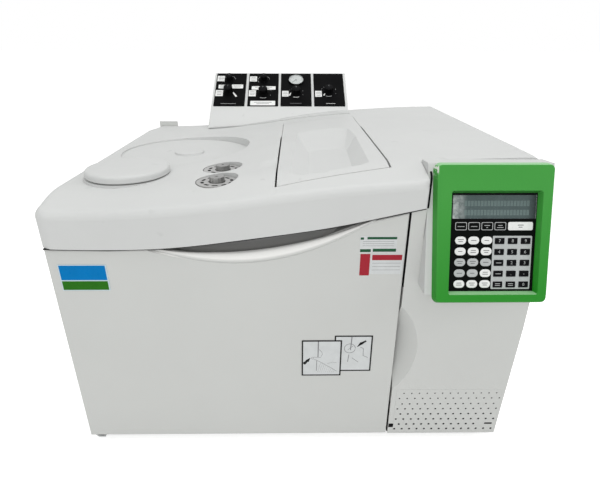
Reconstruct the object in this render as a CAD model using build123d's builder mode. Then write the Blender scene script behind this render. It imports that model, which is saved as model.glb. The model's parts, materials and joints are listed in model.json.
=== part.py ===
from build123d import *
import os
from math import asin, cos, degrees, radians, sin

# A bench gas chromatograph: a column oven behind a side-hinged door, two injectors and a
# detector under a moulded top cover, an inclined gas-control panel at the back and a
# keypad console at the front right.

os.makedirs("parts", exist_ok=True)

# ------------------------------------------------------------------ driving dimensions (mm)
HALF_W = 320.0            # half width of the steel body
COVER_HALF_W = 326.0      # half width of the moulded top cover, which overhangs the body
FRONT = -315.0            # row Y of the door's outer face
BASE = 12.0               # row Z of the body's lower edge: the height of the feet
BODY_BACK = 655.0         # door face to the outside of the rear panel
SHEET = 2.0               # steel panel thickness
MOULD = 3.0               # wall of the moulded plastic housings
RUN = 0.05                # radial running clearance of pins and shafts

COVER_WALL = 4.0
COVER_FRONT = -4.0        # the cover's skirt stands this far in front of the door
COVER_BACK = 540.0
COVER_ROLL = 12.0         # radius of the rolled rim of the top cover
BROW_DROP, BROW_RUN = 14.0, 56.0     # the cover slopes down to its front edge
BROW_CREASE_R = 150.0
COVER_CORNER = 20.0
COVER_CUT = (13.0, 53.0)  # the rear left corner is cut off at a shallow angle
REAR_TOP = 359.0          # the lower deck behind the top cover
BRACKET_TAB = (-310.0, -269.0)
NOTCH_X, NOTCH_Y = 168.0, 49.0  # corner of the top cover that makes room for the console
SHOULDER = 341.0          # height where the console reaches back over the front panel
COVER_TOP = [(-326, 390), (-240, 390), (-109, 399), (31, 417.6), (124, 426), (246, 433),
             (326, 434.5)]
COVER_SKIRT = [(326, 400), (166, 382), (51, 357), (-55, 341), (-153, 329), (-236, 326),
               (-326, 328)]

DOOR_LEFT, DOOR_RIGHT = -320.0, 147.0
DOOR_BOTTOM = 1.0
DOOR_DEPTH = 22.0
DOOR_TOP_LEFT, DOOR_TOP_RIGHT = 324.3, 375.0
DOOR_SCOOP = [(103, 363.5), (37, 330), (-32, 308), (-82, 305.5), (-140, 311), (-189, 324.3)]

HINGE_X, HINGE_Y, HINGE_R = -313.0, 7.0, 3.0

OVEN_X = (-231.0, 59.0)
OVEN_Z = (30.0, 275.0)
OVEN_Y = (28.0, 260.0)
OVEN_MID_X = (OVEN_X[0] + OVEN_X[1]) / 2
OVEN_MID_Z = (OVEN_Z[0] + OVEN_Z[1]) / 2
LINER = 2.0
LAGGING_X = (-300.0, 125.0)
LAGGING_Z = (8.0, 330.0)
LAGGING_BACK = 300.0
FRAME_Y = (26.0, 28.0)

INJECTORS = [(-103.5, 128.0), (-102.5, 66.0)]
INJECTOR_R = 28.0
SHIELD_Z = (393.0, 396.4)
CAP_AT, CAP_R = (-240.0, 118.0), 59.0
WELL_AT, WELL_R, WELL_FLOOR = (-190.0, 280.0), 112.0, 387.5
DETECTOR_AT = (35.0, 150.0)

GAS_TILT = 34.0           # slope of the gas-control panel from the horizontal
GAS_X = (-190.0, 127.0)
GAS_FOOT = (490.5, 392.4)  # front lower edge of that panel
GAS_LENGTH = 199.0
FASCIA_UP = (72.0, 187.0)
FASCIAS = {"split_flow_fascia": (-185.0, -113.0), "carrier_gas_fascia": (-106.5, -35.0),
           "gauge_fascia": (-29.5, 43.0), "detector_gas_fascia": (49.0, 121.0)}
KNOBS = {"split_flow_knob": (-153.5, 163.0, 8.5), "septum_purge_knob": (-153.5, 122.0, 10.5),
         "carrier_flow_knob": (-71.0, 163.0, 8.5), "carrier_pressure_knob": (-71.0, 117.0, 10.5),
         "hydrogen_knob": (7.0, 117.5, 10.5), "air_knob": (84.0, 122.0, 10.5)}
GAUGE_AT, GAUGE_R = (7.0, 161.0), 19.0

CONSOLE_TILT = 17.5       # lean of the keypad face from the vertical
CONSOLE_X = (168.5, 326.0)
CONSOLE_FOOT = (-42.0, 270.0)
BEZEL_DEPTH = 10.0
BEZEL_HEIGHT = 172.0
WINDOW_X, WINDOW_UP = (196.0, 309.0), (9.8, 140.2)
KEYPAD_X, KEYPAD_UP = (195.0, 311.0), (6.0, 144.0)
DISPLAY_X, DISPLAY_UP = (199.0, 307.0), (105.2, 138.0)

FAN_R, FAN_BLADES = 78.0, 10
SHAFT_R = 4.0
DUCT_X, DUCT_Z = (-205.0, -125.0), (212.0, 260.0)
FLAP_PIVOT = (660.5, 269.0)
INLET_X, INLET_Z = (205.0, 255.0), (44.0, 110.0)
ROCKER_AT = (651.0, 93.0)
FITTINGS_X, FITTINGS_Z = (-70.0, -35.0, 0.0), 328.0

GRILLE_X, GRILLE_Z = (157.0, 318.0), (5.0, 90.0)
# the finger pocket beside the door is part of a ball whose middle stands in front of the panel
POCKET_MID, POCKET_BACK, POCKET_R = (71.4, 165.0), 120.0, 161.2
# height, first hole and radius of each row of vent holes
HOLE_ROWS = [(82.6, 168.5, 1.2, 13), (72.6, 162.5, 1.3, 14), (61.6, 167.5, 1.4, 13), (51.6, 161.2, 1.5, 14),
             (41.1, 166.8, 1.7, 13), (30.6, 160.6, 1.8, 14), (20.1, 166.2, 1.9, 11), (10.1, 160.0, 1.9, 14)]
HOLE_PITCH = 11.8
GRILLE_SLOT_X, GRILLE_SLOT_Z = (301.5, 313.5), (19.2, 22.4)

# the opening for the detector cover, with a narrow slot along each side of its front half
APERTURE = [(-22.3, 19.2), (127.3, 38.8), (127.3, 320), (125.5, 322), (125.5, 440), (-20.5, 440),
            (-20.5, 302), (-22.3, 300)]
PANEL = [(-19.9, 20.5), (124.9, 39.5), (124.9, 439.2), (-19.9, 439.2)]
THUMB_AT, THUMB_R, THUMB_HEIGHT = (-36.0, 108.0), 172.0, 578.8   # shallow notch beside the left slot

# the dish in the detector cover: its floor and its rim, corner by corner, as seen square to the cover
DISH_FLOOR = [(20, 66), (48, 64), (82, 84), (86, 196), (80, 214), (24, 220)]
DISH_RIM = [(-4, 37), (42, 38), (103, 55), (107, 250), (100, 326), (8, 318)]
DISH_DEPTH, DISH_OVER = 14.0, 12.0
DISH_SLOPE = 6.4          # tilt of the cover's top towards the left
DISH_HEIGHT = 419.0       # the cover's top at x = 50
DISH_ROUND = 14.0

CROWN_R = 900.0           # the blanking cap is slightly domed
CROWN_EDGE = CAP_R - 7

SHAFT_HOLE_R = 6.0
INJECTOR_TUBE_R, DETECTOR_TUBE_R = 6.0, 4.0
COLUMN_Y = (112.0, 148.0)  # front and back of the column hanger
LUG_TOP = FLAP_PIVOT[1] + 4

# upper edge of the hollow inside the door shell
HOLLOW_TOP = [(110, 352), (60, 326), (0, 294), (-60, 284), (-120, 284), (-170, 296), (-200, 316)]
# depth behind the door's face and rise of the scoop's edge there, which rounds the lip over
SCOOP_LIP = [(0.0, 0.0), (2.2, 4.6), (9.0, 7.5)]
SCOOP_BACK = 19.5
# the fingertips' pocket runs down behind the lip
SCOOP_POCKET = [(64, 352), (10, 312), (-50, 293), (-110, 293), (-160, 308), (-186, 328)]
BRACKET_X = (-317.6, -298.0)

BLOCK_Z = (LAGGING_Z[1], 366.0)
GAS_TOP_Y = GAS_FOOT[0] + GAS_LENGTH * cos(radians(GAS_TILT))
GAS_TOP_Z = GAS_FOOT[1] + GAS_LENGTH * sin(radians(GAS_TILT))

LEAN = radians(CONSOLE_TILT)
CONSOLE_UNDER, CONSOLE_TOP = 274.0, 433.0
# local X and height of the middle of each block of keys, and the pitch of the keys in it
OVAL_KEYS_AT, DIGIT_KEYS_AT, FUNCTION_KEYS_AT = (228.1, 50.0), (277.6, 49.2), (236.2, 95.9)
START_KEY_AT = (286.4, 95.9)
KEY_PITCH = (16.5, 13.95)
KEY_RISE = 0.5
SOCKET_MID = (230.0, 62.0)
ROCKER = [(9, 0), (5.2, 9.8), (-7, 4), (-7, -4), (5.2, -9.8)]


# ------------------------------------------------------------------ datum planes and helpers
def front_plane(y):
    """A plane across the front, y behind the door's face: local x is X, local y is up."""
    return Plane(origin=(0, FRONT + y, BASE), x_dir=(1, 0, 0), z_dir=(0, -1, 0))


def side_plane(x):
    """A plane along the side: local x runs back from the door's face, local y is up."""
    return Plane(origin=(x, FRONT, BASE), x_dir=(0, 1, 0), z_dir=(1, 0, 0))


def level(z):
    """A horizontal plane z above the body's lower edge, local y from the door's face."""
    return Plane(origin=(0, FRONT, BASE + z), x_dir=(1, 0, 0), z_dir=(0, 0, 1))


def gas_plane(out=0.0):
    """The inclined gas-control face, moved outwards: local x is X, local y is up the slope."""
    tilt = radians(GAS_TILT)
    normal = Vector(0, -sin(tilt), cos(tilt))
    foot = Vector(0, FRONT + GAS_FOOT[0], BASE + GAS_FOOT[1])
    return Plane(origin=foot + normal * out, x_dir=(1, 0, 0), z_dir=normal)


def console_plane(out=0.0):
    """The leaning keypad face, moved outwards: local x is X, local y is up the face."""
    lean = radians(CONSOLE_TILT)
    normal = Vector(0, -cos(lean), sin(lean))
    foot = Vector(0, FRONT + CONSOLE_FOOT[0], BASE + CONSOLE_FOOT[1])
    return Plane(origin=foot + normal * out, x_dir=(1, 0, 0), z_dir=normal)


def span(across, along):
    """A rectangle between two pairs of local coordinates, in the open sketch."""
    with Locations(((across[0] + across[1]) / 2, (along[0] + along[1]) / 2)):
        return Rectangle(across[1] - across[0], along[1] - along[0])


def grow(pair, amount):
    """A pair of coordinates moved apart by an amount at each end."""
    return pair[0] - amount, pair[1] + amount


def save(builder, name):
    """Name the finished piece and write it as its own STEP file."""
    builder.part.label = name
    export_step(builder.part, f"parts/{name}.step")


# ------------------------------------------------------------------ chassis and outer panels
with BuildPart() as base_pan:
    with BuildSketch(level(0)):
        span(grow((-HALF_W, HALF_W), -3), (FRAME_Y[0], BODY_BACK - 5))
    extrude(amount=24)
    with BuildSketch(level(SHEET)):
        span(grow((-HALF_W, HALF_W), -3 - SHEET), (FRAME_Y[0], BODY_BACK - 5 - SHEET))
    extrude(amount=24, mode=Mode.SUBTRACT)
    with BuildSketch(level(0)):
        with Locations((230, 340)):
            with GridLocations(0, 16, 1, 8):
                SlotOverall(90, 5)
    extrude(amount=SHEET, mode=Mode.SUBTRACT)
save(base_pan, "base_pan")

with BuildPart() as feet:
    for x in (-280, 280):
        for y in (62, 612):
            with BuildSketch(level(-BASE)):
                with Locations((x, y)):
                    Circle(15)
            extrude(amount=BASE, taper=-8)
            with BuildSketch(level(-BASE)):
                with Locations((x, y)):
                    Circle(4)
            extrude(amount=5, mode=Mode.SUBTRACT)
save(feet, "feet")

with BuildPart() as left_side_panel:
    with BuildSketch(side_plane(-HALF_W)):
        with BuildLine():
            Polyline((FRAME_Y[0], 2), (BODY_BACK, 2), (BODY_BACK, REAR_TOP), (COVER_BACK + 1, REAR_TOP),
                     (COVER_BACK + 1, 327), (FRAME_Y[0], 327), close=True)
        make_face()
    extrude(amount=SHEET)
    with BuildSketch(side_plane(-HALF_W + SHEET)):
        span((BODY_BACK - 140, BODY_BACK - 8), (310, 312))
    extrude(amount=10)
    with BuildSketch(side_plane(-HALF_W)):
        for y in (470, 560):
            with Locations((y, 150)):
                with GridLocations(0, 14, 1, 10):
                    SlotOverall(70, 5)
    extrude(amount=SHEET, mode=Mode.SUBTRACT)
save(left_side_panel, "left_side_panel")

with BuildPart() as right_side_panel:
    with BuildSketch(front_plane(MOULD)):
        with BuildLine():
            Polyline((HALF_W - SHEET, 2), (HALF_W, 2), (COVER_HALF_W, 200), (COVER_HALF_W, 398),
                     (COVER_HALF_W - SHEET, 398), (COVER_HALF_W - SHEET, 200), close=True)
        make_face()
    extrude(amount=-(BODY_BACK - MOULD))
    with BuildSketch(side_plane(HALF_W - 20)):
        span((COVER_BACK + 1, BODY_BACK + 10), (REAR_TOP, 410))
        span((-10, NOTCH_Y + 0.3), (SHOULDER - 0.5, 410))
    extrude(amount=40, mode=Mode.SUBTRACT)
    with BuildSketch(side_plane(HALF_W - 20)):
        for y in (330, 420, 510):
            with Locations((y, 110)):
                with GridLocations(0, 14, 1, 10):
                    SlotOverall(70, 5)
    extrude(amount=40, mode=Mode.SUBTRACT)
save(right_side_panel, "right_side_panel")

with BuildPart() as rear_panel:
    with BuildSketch(front_plane(BODY_BACK)):
        with BuildLine():
            Polyline((SHEET + 0.2 - HALF_W, 2), (HALF_W - SHEET - 0.2, 2),
                     (COVER_HALF_W - SHEET - 0.2, 200), (COVER_HALF_W - SHEET - 0.2, REAR_TOP - SHEET),
                     (SHEET + 0.2 - HALF_W, REAR_TOP - SHEET), close=True)
        make_face()
    extrude(amount=SHEET)
    with BuildSketch(front_plane(BODY_BACK)):
        span(grow(DUCT_X, 2), grow(DUCT_Z, 2))
        span(grow(INLET_X, -8), grow(INLET_Z, -6))
        for x in FITTINGS_X:
            with Locations((x, FITTINGS_Z)):
                Circle(5.2)
        with Locations((60, 130)):
            with GridLocations(0, 14, 1, 11):
                SlotOverall(140, 6)
    extrude(amount=SHEET, mode=Mode.SUBTRACT)
save(rear_panel, "rear_panel")

with BuildPart() as rear_top_cover:
    with BuildSketch(level(REAR_TOP - SHEET)):
        span((SHEET + 0.2 - HALF_W, COVER_HALF_W - SHEET - 0.2), (COVER_BACK + 1, BODY_BACK))
    extrude(amount=SHEET)
    with BuildSketch(front_plane(COVER_BACK + 1)):
        span((SHEET + 0.2 - HALF_W, COVER_HALF_W - SHEET - 0.2), (REAR_TOP, 382))
        with BuildLine():
            Polyline((130, 380), (317, 380), (317, 424), (130, 418), close=True)
        make_face()
        span(BRACKET_TAB, (380, 400))
    extrude(amount=-SHEET)
save(rear_top_cover, "rear_top_cover")


pocket_ball = Pos(POCKET_MID[0], FRONT - POCKET_BACK, BASE + POCKET_MID[1]) * Sphere(POCKET_R)
pocket_wall = Pos(POCKET_MID[0], FRONT - POCKET_BACK, BASE + POCKET_MID[1]) * Sphere(POCKET_R + 2.5)

with BuildPart() as front_panel:
    with BuildSketch(front_plane(0.5)):
        span((149.5, 200), (60, 270))
    extrude(amount=-30)
    add(pocket_wall, mode=Mode.INTERSECT)
    with BuildSketch(front_plane(0)):
        with BuildLine():
            Polyline((149.5, 1), (HALF_W, 1), (COVER_HALF_W, 200), (COVER_HALF_W, SHOULDER - 0.5),
                     (NOTCH_X, SHOULDER - 0.5), (NOTCH_X, 381), (149.5, 376), close=True)
        make_face()
    extrude(amount=-MOULD)
    with BuildSketch(front_plane(MOULD)):
        span((149.5, 151.5), (1, 376))
        span((151.5, 314), (1, 3))
    extrude(amount=-18)
    add(pocket_ball, mode=Mode.SUBTRACT)
    with BuildSketch(front_plane(0)):
        span(GRILLE_X, GRILLE_Z)
    extrude(amount=-MOULD, mode=Mode.SUBTRACT)
save(front_panel, "front_panel")

with BuildPart() as vent_grille:
    with BuildSketch(front_plane(0)):
        span(GRILLE_X, GRILLE_Z)
    extrude(amount=-MOULD)
    with BuildSketch(front_plane(0)):
        for height, start, radius, count in HOLE_ROWS:
            for step in range(count):
                with Locations((start + step * HOLE_PITCH, height)):
                    RegularPolygon(radius, 6)
        span(GRILLE_SLOT_X, GRILLE_SLOT_Z)
    extrude(amount=-MOULD, mode=Mode.SUBTRACT)
save(vent_grille, "vent_grille")

# ------------------------------------------------------------------ moulded top cover
def cover_form(inset):
    """The closed body of the top cover, moved in by an inset all round."""
    half = COVER_HALF_W - inset
    front = COVER_FRONT + inset
    with BuildPart() as form:
        with BuildSketch(front_plane(front)):
            with BuildLine():
                top = Spline(*[(x, z - inset) for x, z in COVER_TOP])
                if inset:
                    Polyline(top @ 1, (COVER_HALF_W, 300), (-COVER_HALF_W, 300), top @ 0)
                else:
                    skirt = Spline(*COVER_SKIRT)
                    Line(top @ 1, skirt @ 0)
                    Line(skirt @ 1, top @ 0)
            make_face()
        extrude(amount=-(COVER_BACK - COVER_FRONT - 2 * inset))
        skin = max((f for f in form.faces() if f.normal_at().Z > 0.9), key=lambda f: f.area)
        face = form.faces().sort_by(Axis.Y)[0]
        chamfer(skin.edges().sort_by(Axis.Y)[0], BROW_DROP, BROW_RUN, reference=face)
        crease = [e for e in form.edges().filter_by_position(Axis.Y, FRONT + front + BROW_RUN - 1,
                                                             FRONT + front + BROW_RUN + 1)]
        fillet(crease, BROW_CREASE_R)
        with BuildSketch(level(290)) as plan:
            with BuildLine():
                Polyline((-half, front), (half, front), (half, COVER_BACK - inset),
                         (-half + COVER_CUT[0], COVER_BACK - inset), (-half, COVER_BACK - COVER_CUT[1]),
                         close=True)
            make_face()
            corner = plan.vertices().sort_by(Axis.Y)[0:2].sort_by(Axis.X)[0]
            fillet(corner, COVER_CORNER - inset)
        extrude(amount=200, mode=Mode.INTERSECT)
        skins = [e for f in form.faces() if f.normal_at().Z > 0.8 for e in f.edges()]
        rim = [e for e in skins if sum(e.is_same(other) for other in skins) == 1
               and e.center().Y < FRONT + COVER_BACK - inset - 5]
        fillet(rim, COVER_ROLL - inset)
    return form.part


cover_outer = cover_form(0)
cover_inner = cover_form(COVER_WALL)
cover_under = cover_form(COVER_WALL - 0.3)
cover_lip = cover_form(COVER_WALL + 3)


with BuildPart() as hollow:
    add(cover_inner)
    with BuildSketch(level(290)):
        span((NOTCH_X - MOULD, 340), (-20, NOTCH_Y + MOULD))
    extrude(amount=200, mode=Mode.SUBTRACT)

with BuildPart() as lip_ring:
    for near, far in (((10, 30), (24, 43)), ((433, 433), (447, 447))):
        with BuildSketch(level(330)):
            with BuildLine():
                Polyline((-30, near[0]), (135, near[1]), (135, far[1]), (-30, far[0]), close=True)
            make_face()
        extrude(amount=120)
    add(cover_inner, mode=Mode.INTERSECT)
    add(cover_lip, mode=Mode.SUBTRACT)

with BuildPart() as seats:
    with BuildSketch(level(WELL_FLOOR - COVER_WALL)):
        with Locations(WELL_AT):
            Circle(WELL_R + COVER_WALL)
    extrude(amount=40)
    with BuildSketch(level(SHIELD_Z[0] - 7)):
        with Locations(*INJECTORS):
            Circle(INJECTOR_R + 4)
    extrude(amount=40)
    add(cover_outer, mode=Mode.INTERSECT)

thumb_ball = Pos(THUMB_AT[0], FRONT + THUMB_AT[1], BASE + THUMB_HEIGHT) * Sphere(THUMB_R)

with BuildPart() as top_cover:
    add(cover_outer)
    add(hollow.part, mode=Mode.SUBTRACT)
    with BuildSketch(level(290)):
        span((NOTCH_X, 340), (-20, NOTCH_Y))
    extrude(amount=200, mode=Mode.SUBTRACT)
    add(seats.part)
    with BuildSketch(level(WELL_FLOOR)):
        with Locations(WELL_AT):
            Circle(WELL_R)
    extrude(amount=40, mode=Mode.SUBTRACT)
    with BuildSketch(level(WELL_FLOOR)):
        with Locations((-185, 275)):
            Circle(26)
    extrude(amount=3, taper=20)
    with BuildSketch(level(377)):
        with Locations(CAP_AT):
            Circle(CAP_R + 3)
    extrude(amount=15, taper=2)
    with BuildSketch(level(380)):
        with Locations(CAP_AT):
            Circle(44.5)
    extrude(amount=30, mode=Mode.SUBTRACT)
    with BuildSketch(level(SHIELD_Z[0])):
        with Locations(*INJECTORS):
            Circle(INJECTOR_R + 1)
    extrude(amount=40, mode=Mode.SUBTRACT)
    with BuildSketch(level(370)):
        with Locations(*INJECTORS):
            Circle(11)
    extrude(amount=40, mode=Mode.SUBTRACT)
    with BuildSketch(level(340)):
        with BuildLine():
            Polyline(*APERTURE, close=True)
        make_face()
    extrude(amount=120, mode=Mode.SUBTRACT)
    add(thumb_ball, mode=Mode.SUBTRACT)
    add(lip_ring.part)
save(top_cover, "top_cover")


def dish_plane(out):
    """The cover's sloping top in the dish region, moved outwards: local axes are X and Y."""
    tilt = radians(DISH_SLOPE)
    normal = Vector(-sin(tilt), 0, cos(tilt))
    middle = Vector(50, FRONT, BASE + DISH_HEIGHT)
    return Plane(origin=middle + normal * out, x_dir=(cos(tilt), 0, sin(tilt)), z_dir=normal)


def dish_form(wall):
    """The dish with its sloping back, grown by a wall thickness."""
    reach = (DISH_DEPTH + DISH_OVER) / DISH_DEPTH
    outer = [(f[0] + (r[0] - f[0]) * reach, f[1] + (r[1] - f[1]) * reach)
             for f, r in zip(DISH_FLOOR, DISH_RIM)]
    with BuildPart() as dish:
        for out, corners in ((-DISH_DEPTH - wall, DISH_FLOOR), (DISH_OVER, outer)):
            with BuildSketch(dish_plane(out)) as outline:
                with BuildLine():
                    Polyline(*[(x - 50, y) for x, y in corners], close=True)
                make_face()
                fillet(outline.vertices(), DISH_ROUND)
                if wall:
                    offset(amount=wall)
        loft()
    return dish.part


dish_wall = dish_form(2.5)
dish_cut = dish_form(0)

with BuildPart() as cover_core:
    add(cover_under)
    add(dish_wall, mode=Mode.SUBTRACT)

with BuildPart() as detector_cover:
    with BuildSketch(level(340)):
        with BuildLine():
            Polyline(*PANEL, close=True)
        make_face()
    extrude(amount=120)
    add(cover_outer, mode=Mode.INTERSECT)
    add(cover_core.part, mode=Mode.SUBTRACT)
    add(dish_cut, mode=Mode.SUBTRACT)
save(detector_cover, "detector_cover")

cap_middle = Plane(origin=(CAP_AT[0], FRONT + CAP_AT[1], BASE), x_dir=(1, 0, 0), z_dir=(0, -1, 0))
with BuildPart() as blanking_cap:
    with BuildSketch(cap_middle):
        with BuildLine():
            crown_angle = degrees(asin(CROWN_EDGE / CROWN_R))
            crown = CenterArc((0, 406 - CROWN_R), CROWN_R, 90 - crown_angle, crown_angle)
            edge = Spline(crown @ 0, (CAP_R, 399), tangents=((1, -0.06), (0, -1)))
            Polyline(edge @ 1, (CAP_R, 394.5), (CAP_R - 2, 393), (44, 393), (44, 383), (40, 383),
                     (40, 399), (0, 399), crown @ 1)
        make_face()
    revolve(axis=Axis(cap_middle.origin, (0, 0, 1)))
save(blanking_cap, "blanking_cap")

# ------------------------------------------------------------------ oven


def roof_holes(extra):
    """Sketch the holes of the injector and detector tubes in the oven roof."""
    with Locations(*INJECTORS):
        Circle(INJECTOR_TUBE_R + extra)
    with Locations(DETECTOR_AT):
        Circle(DETECTOR_TUBE_R + extra)


with BuildPart() as front_frame:
    with BuildSketch(front_plane(FRAME_Y[0])):
        with BuildLine():
            Polyline((-314.5, SHEET), (146, SHEET), (146, 378), (-60, 345), (-300, 345), (-314.5, 340),
                     close=True)
        make_face()
    extrude(amount=-SHEET)
    with BuildSketch(front_plane(FRAME_Y[1])):
        span((144, 146), (SHEET, 345))
    extrude(amount=-270)
    with BuildSketch(front_plane(FRAME_Y[0])) as mouth:
        span(OVEN_X, OVEN_Z)
        fillet(mouth.vertices(), 10)
    extrude(amount=-SHEET, mode=Mode.SUBTRACT)
save(front_frame, "front_frame")

with BuildPart() as oven_liner:
    with BuildSketch(front_plane(OVEN_Y[0])):
        span(grow(OVEN_X, LINER), grow(OVEN_Z, LINER))
    extrude(amount=-(OVEN_Y[1] - OVEN_Y[0] + LINER))
    with BuildSketch(front_plane(OVEN_Y[0])):
        span(OVEN_X, OVEN_Z)
    extrude(amount=-(OVEN_Y[1] - OVEN_Y[0]), mode=Mode.SUBTRACT)
    with BuildSketch(front_plane(OVEN_Y[1])):
        with Locations((OVEN_MID_X, OVEN_MID_Z)):
            Circle(SHAFT_HOLE_R)
        span(DUCT_X, DUCT_Z)
    extrude(amount=-LINER, mode=Mode.SUBTRACT)
    with BuildSketch(level(OVEN_Z[1])):
        roof_holes(0.4)
    extrude(amount=LINER, mode=Mode.SUBTRACT)
save(oven_liner, "oven_liner")

with BuildPart() as oven_insulation:
    with BuildSketch(front_plane(FRAME_Y[1])):
        span(LAGGING_X, LAGGING_Z)
    extrude(amount=-(LAGGING_BACK - FRAME_Y[1]))
    with BuildSketch(front_plane(FRAME_Y[1])):
        span(grow(OVEN_X, LINER), grow(OVEN_Z, LINER))
    extrude(amount=-(OVEN_Y[1] - OVEN_Y[0] + LINER), mode=Mode.SUBTRACT)
    with BuildSketch(front_plane(OVEN_Y[1])):
        with Locations((OVEN_MID_X, OVEN_MID_Z)):
            Circle(SHAFT_HOLE_R)
        span(grow(DUCT_X, SHEET), grow(DUCT_Z, SHEET))
    extrude(amount=-60, mode=Mode.SUBTRACT)
    with BuildSketch(level(OVEN_Z[1])):
        roof_holes(0.4)
    extrude(amount=60, mode=Mode.SUBTRACT)
save(oven_insulation, "oven_insulation")

with BuildPart() as oven_baffle:
    with BuildSketch(front_plane(198)):
        span(OVEN_X, grow(OVEN_Z, -4))
        with Locations((OVEN_MID_X, OVEN_MID_Z)):
            Circle(60, mode=Mode.SUBTRACT)
            with PolarLocations(109, 24):
                RegularPolygon(5, 6, mode=Mode.SUBTRACT)
            Circle(40)
            Circle(36, mode=Mode.SUBTRACT)
            Rectangle(122, 4)
            Rectangle(4, 122)
    extrude(amount=-1.5)
save(oven_baffle, "oven_baffle")

with BuildPart() as heater_coil:
    for y in (212, 224):
        with BuildSketch(front_plane(y)):
            with Locations((OVEN_MID_X, OVEN_MID_Z)):
                Circle(100)
                Circle(94, mode=Mode.SUBTRACT)
        extrude(amount=-5)
    with BuildSketch(front_plane(217)):
        with Locations((OVEN_MID_X, OVEN_MID_Z)):
            with PolarLocations(97, 3, start_angle=30):
                Rectangle(6, 10)
    extrude(amount=-(OVEN_Y[1] - 217))
save(heater_coil, "heater_coil")

fan_spot = (OVEN_MID_X, OVEN_MID_Z)
with BuildPart() as oven_fan:
    with BuildSketch(front_plane(232)):
        with Locations(fan_spot):
            Circle(FAN_R)
    extrude(amount=-1.5)
    with BuildSketch(front_plane(207)):
        with Locations(fan_spot):
            Circle(11)
    extrude(amount=-25)
    with BuildSketch(front_plane(208)):
        with Locations(fan_spot):
            with PolarLocations(0, FAN_BLADES):
                with Locations((54, 8)):
                    Rectangle(46, 2, rotation=18)
    extrude(amount=-24)
    with BuildSketch(front_plane(233)):
        with Locations(fan_spot):
            Circle(SHAFT_R)
    extrude(amount=-99)
save(oven_fan, "oven_fan")

with BuildPart() as fan_motor:
    with BuildSketch(front_plane(LAGGING_BACK)):
        with Locations(fan_spot):
            RectangleRounded(100, 100, 10)
    extrude(amount=-3)
    with BuildSketch(front_plane(LAGGING_BACK + 3)):
        with Locations(fan_spot):
            Circle(38)
    extrude(amount=-62)
    with BuildSketch(front_plane(LAGGING_BACK + 65)):
        with Locations(fan_spot):
            Circle(14)
    extrude(amount=-8)
    with BuildSketch(front_plane(LAGGING_BACK)):
        with Locations(fan_spot):
            Circle(SHAFT_R + RUN)
    extrude(amount=-34, mode=Mode.SUBTRACT)
save(fan_motor, "fan_motor")

with BuildPart() as column_hanger:
    with BuildSketch(front_plane(COLUMN_Y[0])):
        with Locations(fan_spot):
            Circle(92)
            Circle(89, mode=Mode.SUBTRACT)
            Rectangle(3, 180)
            Rectangle(180, 3)
    extrude(amount=-2)
    with BuildSketch(front_plane(COLUMN_Y[1] - 2)):
        with Locations(fan_spot):
            Circle(92)
            Circle(89, mode=Mode.SUBTRACT)
    extrude(amount=-2)
    with BuildSketch(front_plane(COLUMN_Y[0])):
        with Locations(fan_spot):
            with PolarLocations(90.5, 8):
                Rectangle(3, 3)
    extrude(amount=-(COLUMN_Y[1] - COLUMN_Y[0]))
    for y in (COLUMN_Y[0], COLUMN_Y[1] - 2):
        with BuildSketch(front_plane(y)):
            for x in (OVEN_MID_X - 20, OVEN_MID_X + 20):
                span((x - 2, x + 2), (OVEN_MID_Z + 87.5, OVEN_Z[1]))
        extrude(amount=-2)
save(column_hanger, "column_hanger")

with BuildPart() as capillary_column:
    with BuildSketch(front_plane(COLUMN_Y[0] + 6)):
        with Locations(fan_spot):
            Circle(88.6)
            Circle(82, mode=Mode.SUBTRACT)
    extrude(amount=-24)
save(capillary_column, "capillary_column")

with BuildPart() as exhaust_duct:
    with BuildSketch(front_plane(OVEN_Y[1] + LINER)):
        span(grow(DUCT_X, 1.5), grow(DUCT_Z, 1.5))
    extrude(amount=-(BODY_BACK - OVEN_Y[1] - LINER))
    with BuildSketch(front_plane(BODY_BACK)):
        span(grow(DUCT_X, 8), grow(DUCT_Z, 6))
    extrude(amount=-1.5)
    with BuildSketch(front_plane(OVEN_Y[1])):
        span(DUCT_X, DUCT_Z)
    extrude(amount=-(BODY_BACK + 10 - OVEN_Y[1]), mode=Mode.SUBTRACT)
    for x in (DUCT_X[0] - 8, DUCT_X[1] + 5):
        with BuildSketch(side_plane(x)):
            with BuildLine():
                Polyline((BODY_BACK, DUCT_Z[1] + 2), (BODY_BACK, LUG_TOP), (FLAP_PIVOT[0], LUG_TOP))
                ThreePointArc((FLAP_PIVOT[0], LUG_TOP), (FLAP_PIVOT[0] + 4, FLAP_PIVOT[1]),
                              (FLAP_PIVOT[0], LUG_TOP - 8))
                Line((FLAP_PIVOT[0], LUG_TOP - 8), (BODY_BACK, DUCT_Z[1] + 2))
            make_face()
        extrude(amount=3)
    with BuildSketch(side_plane(DUCT_X[0] - 8)):
        with Locations(FLAP_PIVOT):
            Circle(1.5)
    extrude(amount=DUCT_X[1] - DUCT_X[0] + 16)
save(exhaust_duct, "exhaust_duct")

with BuildPart() as vent_flap:
    with BuildSketch(side_plane(DUCT_X[0] - 4.5)):
        with Locations(FLAP_PIVOT):
            Circle(3)
        span((BODY_BACK + 2.1, BODY_BACK + 3.6), (DUCT_Z[0] - 4, FLAP_PIVOT[1] - 1))
        span((BODY_BACK + 2.1, FLAP_PIVOT[0]), (FLAP_PIVOT[1] - 3, FLAP_PIVOT[1] - 1.5))
        with Locations(FLAP_PIVOT):
            Circle(1.5 + RUN, mode=Mode.SUBTRACT)
    extrude(amount=DUCT_X[1] - DUCT_X[0] + 9)
save(vent_flap, "vent_flap")

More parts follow.
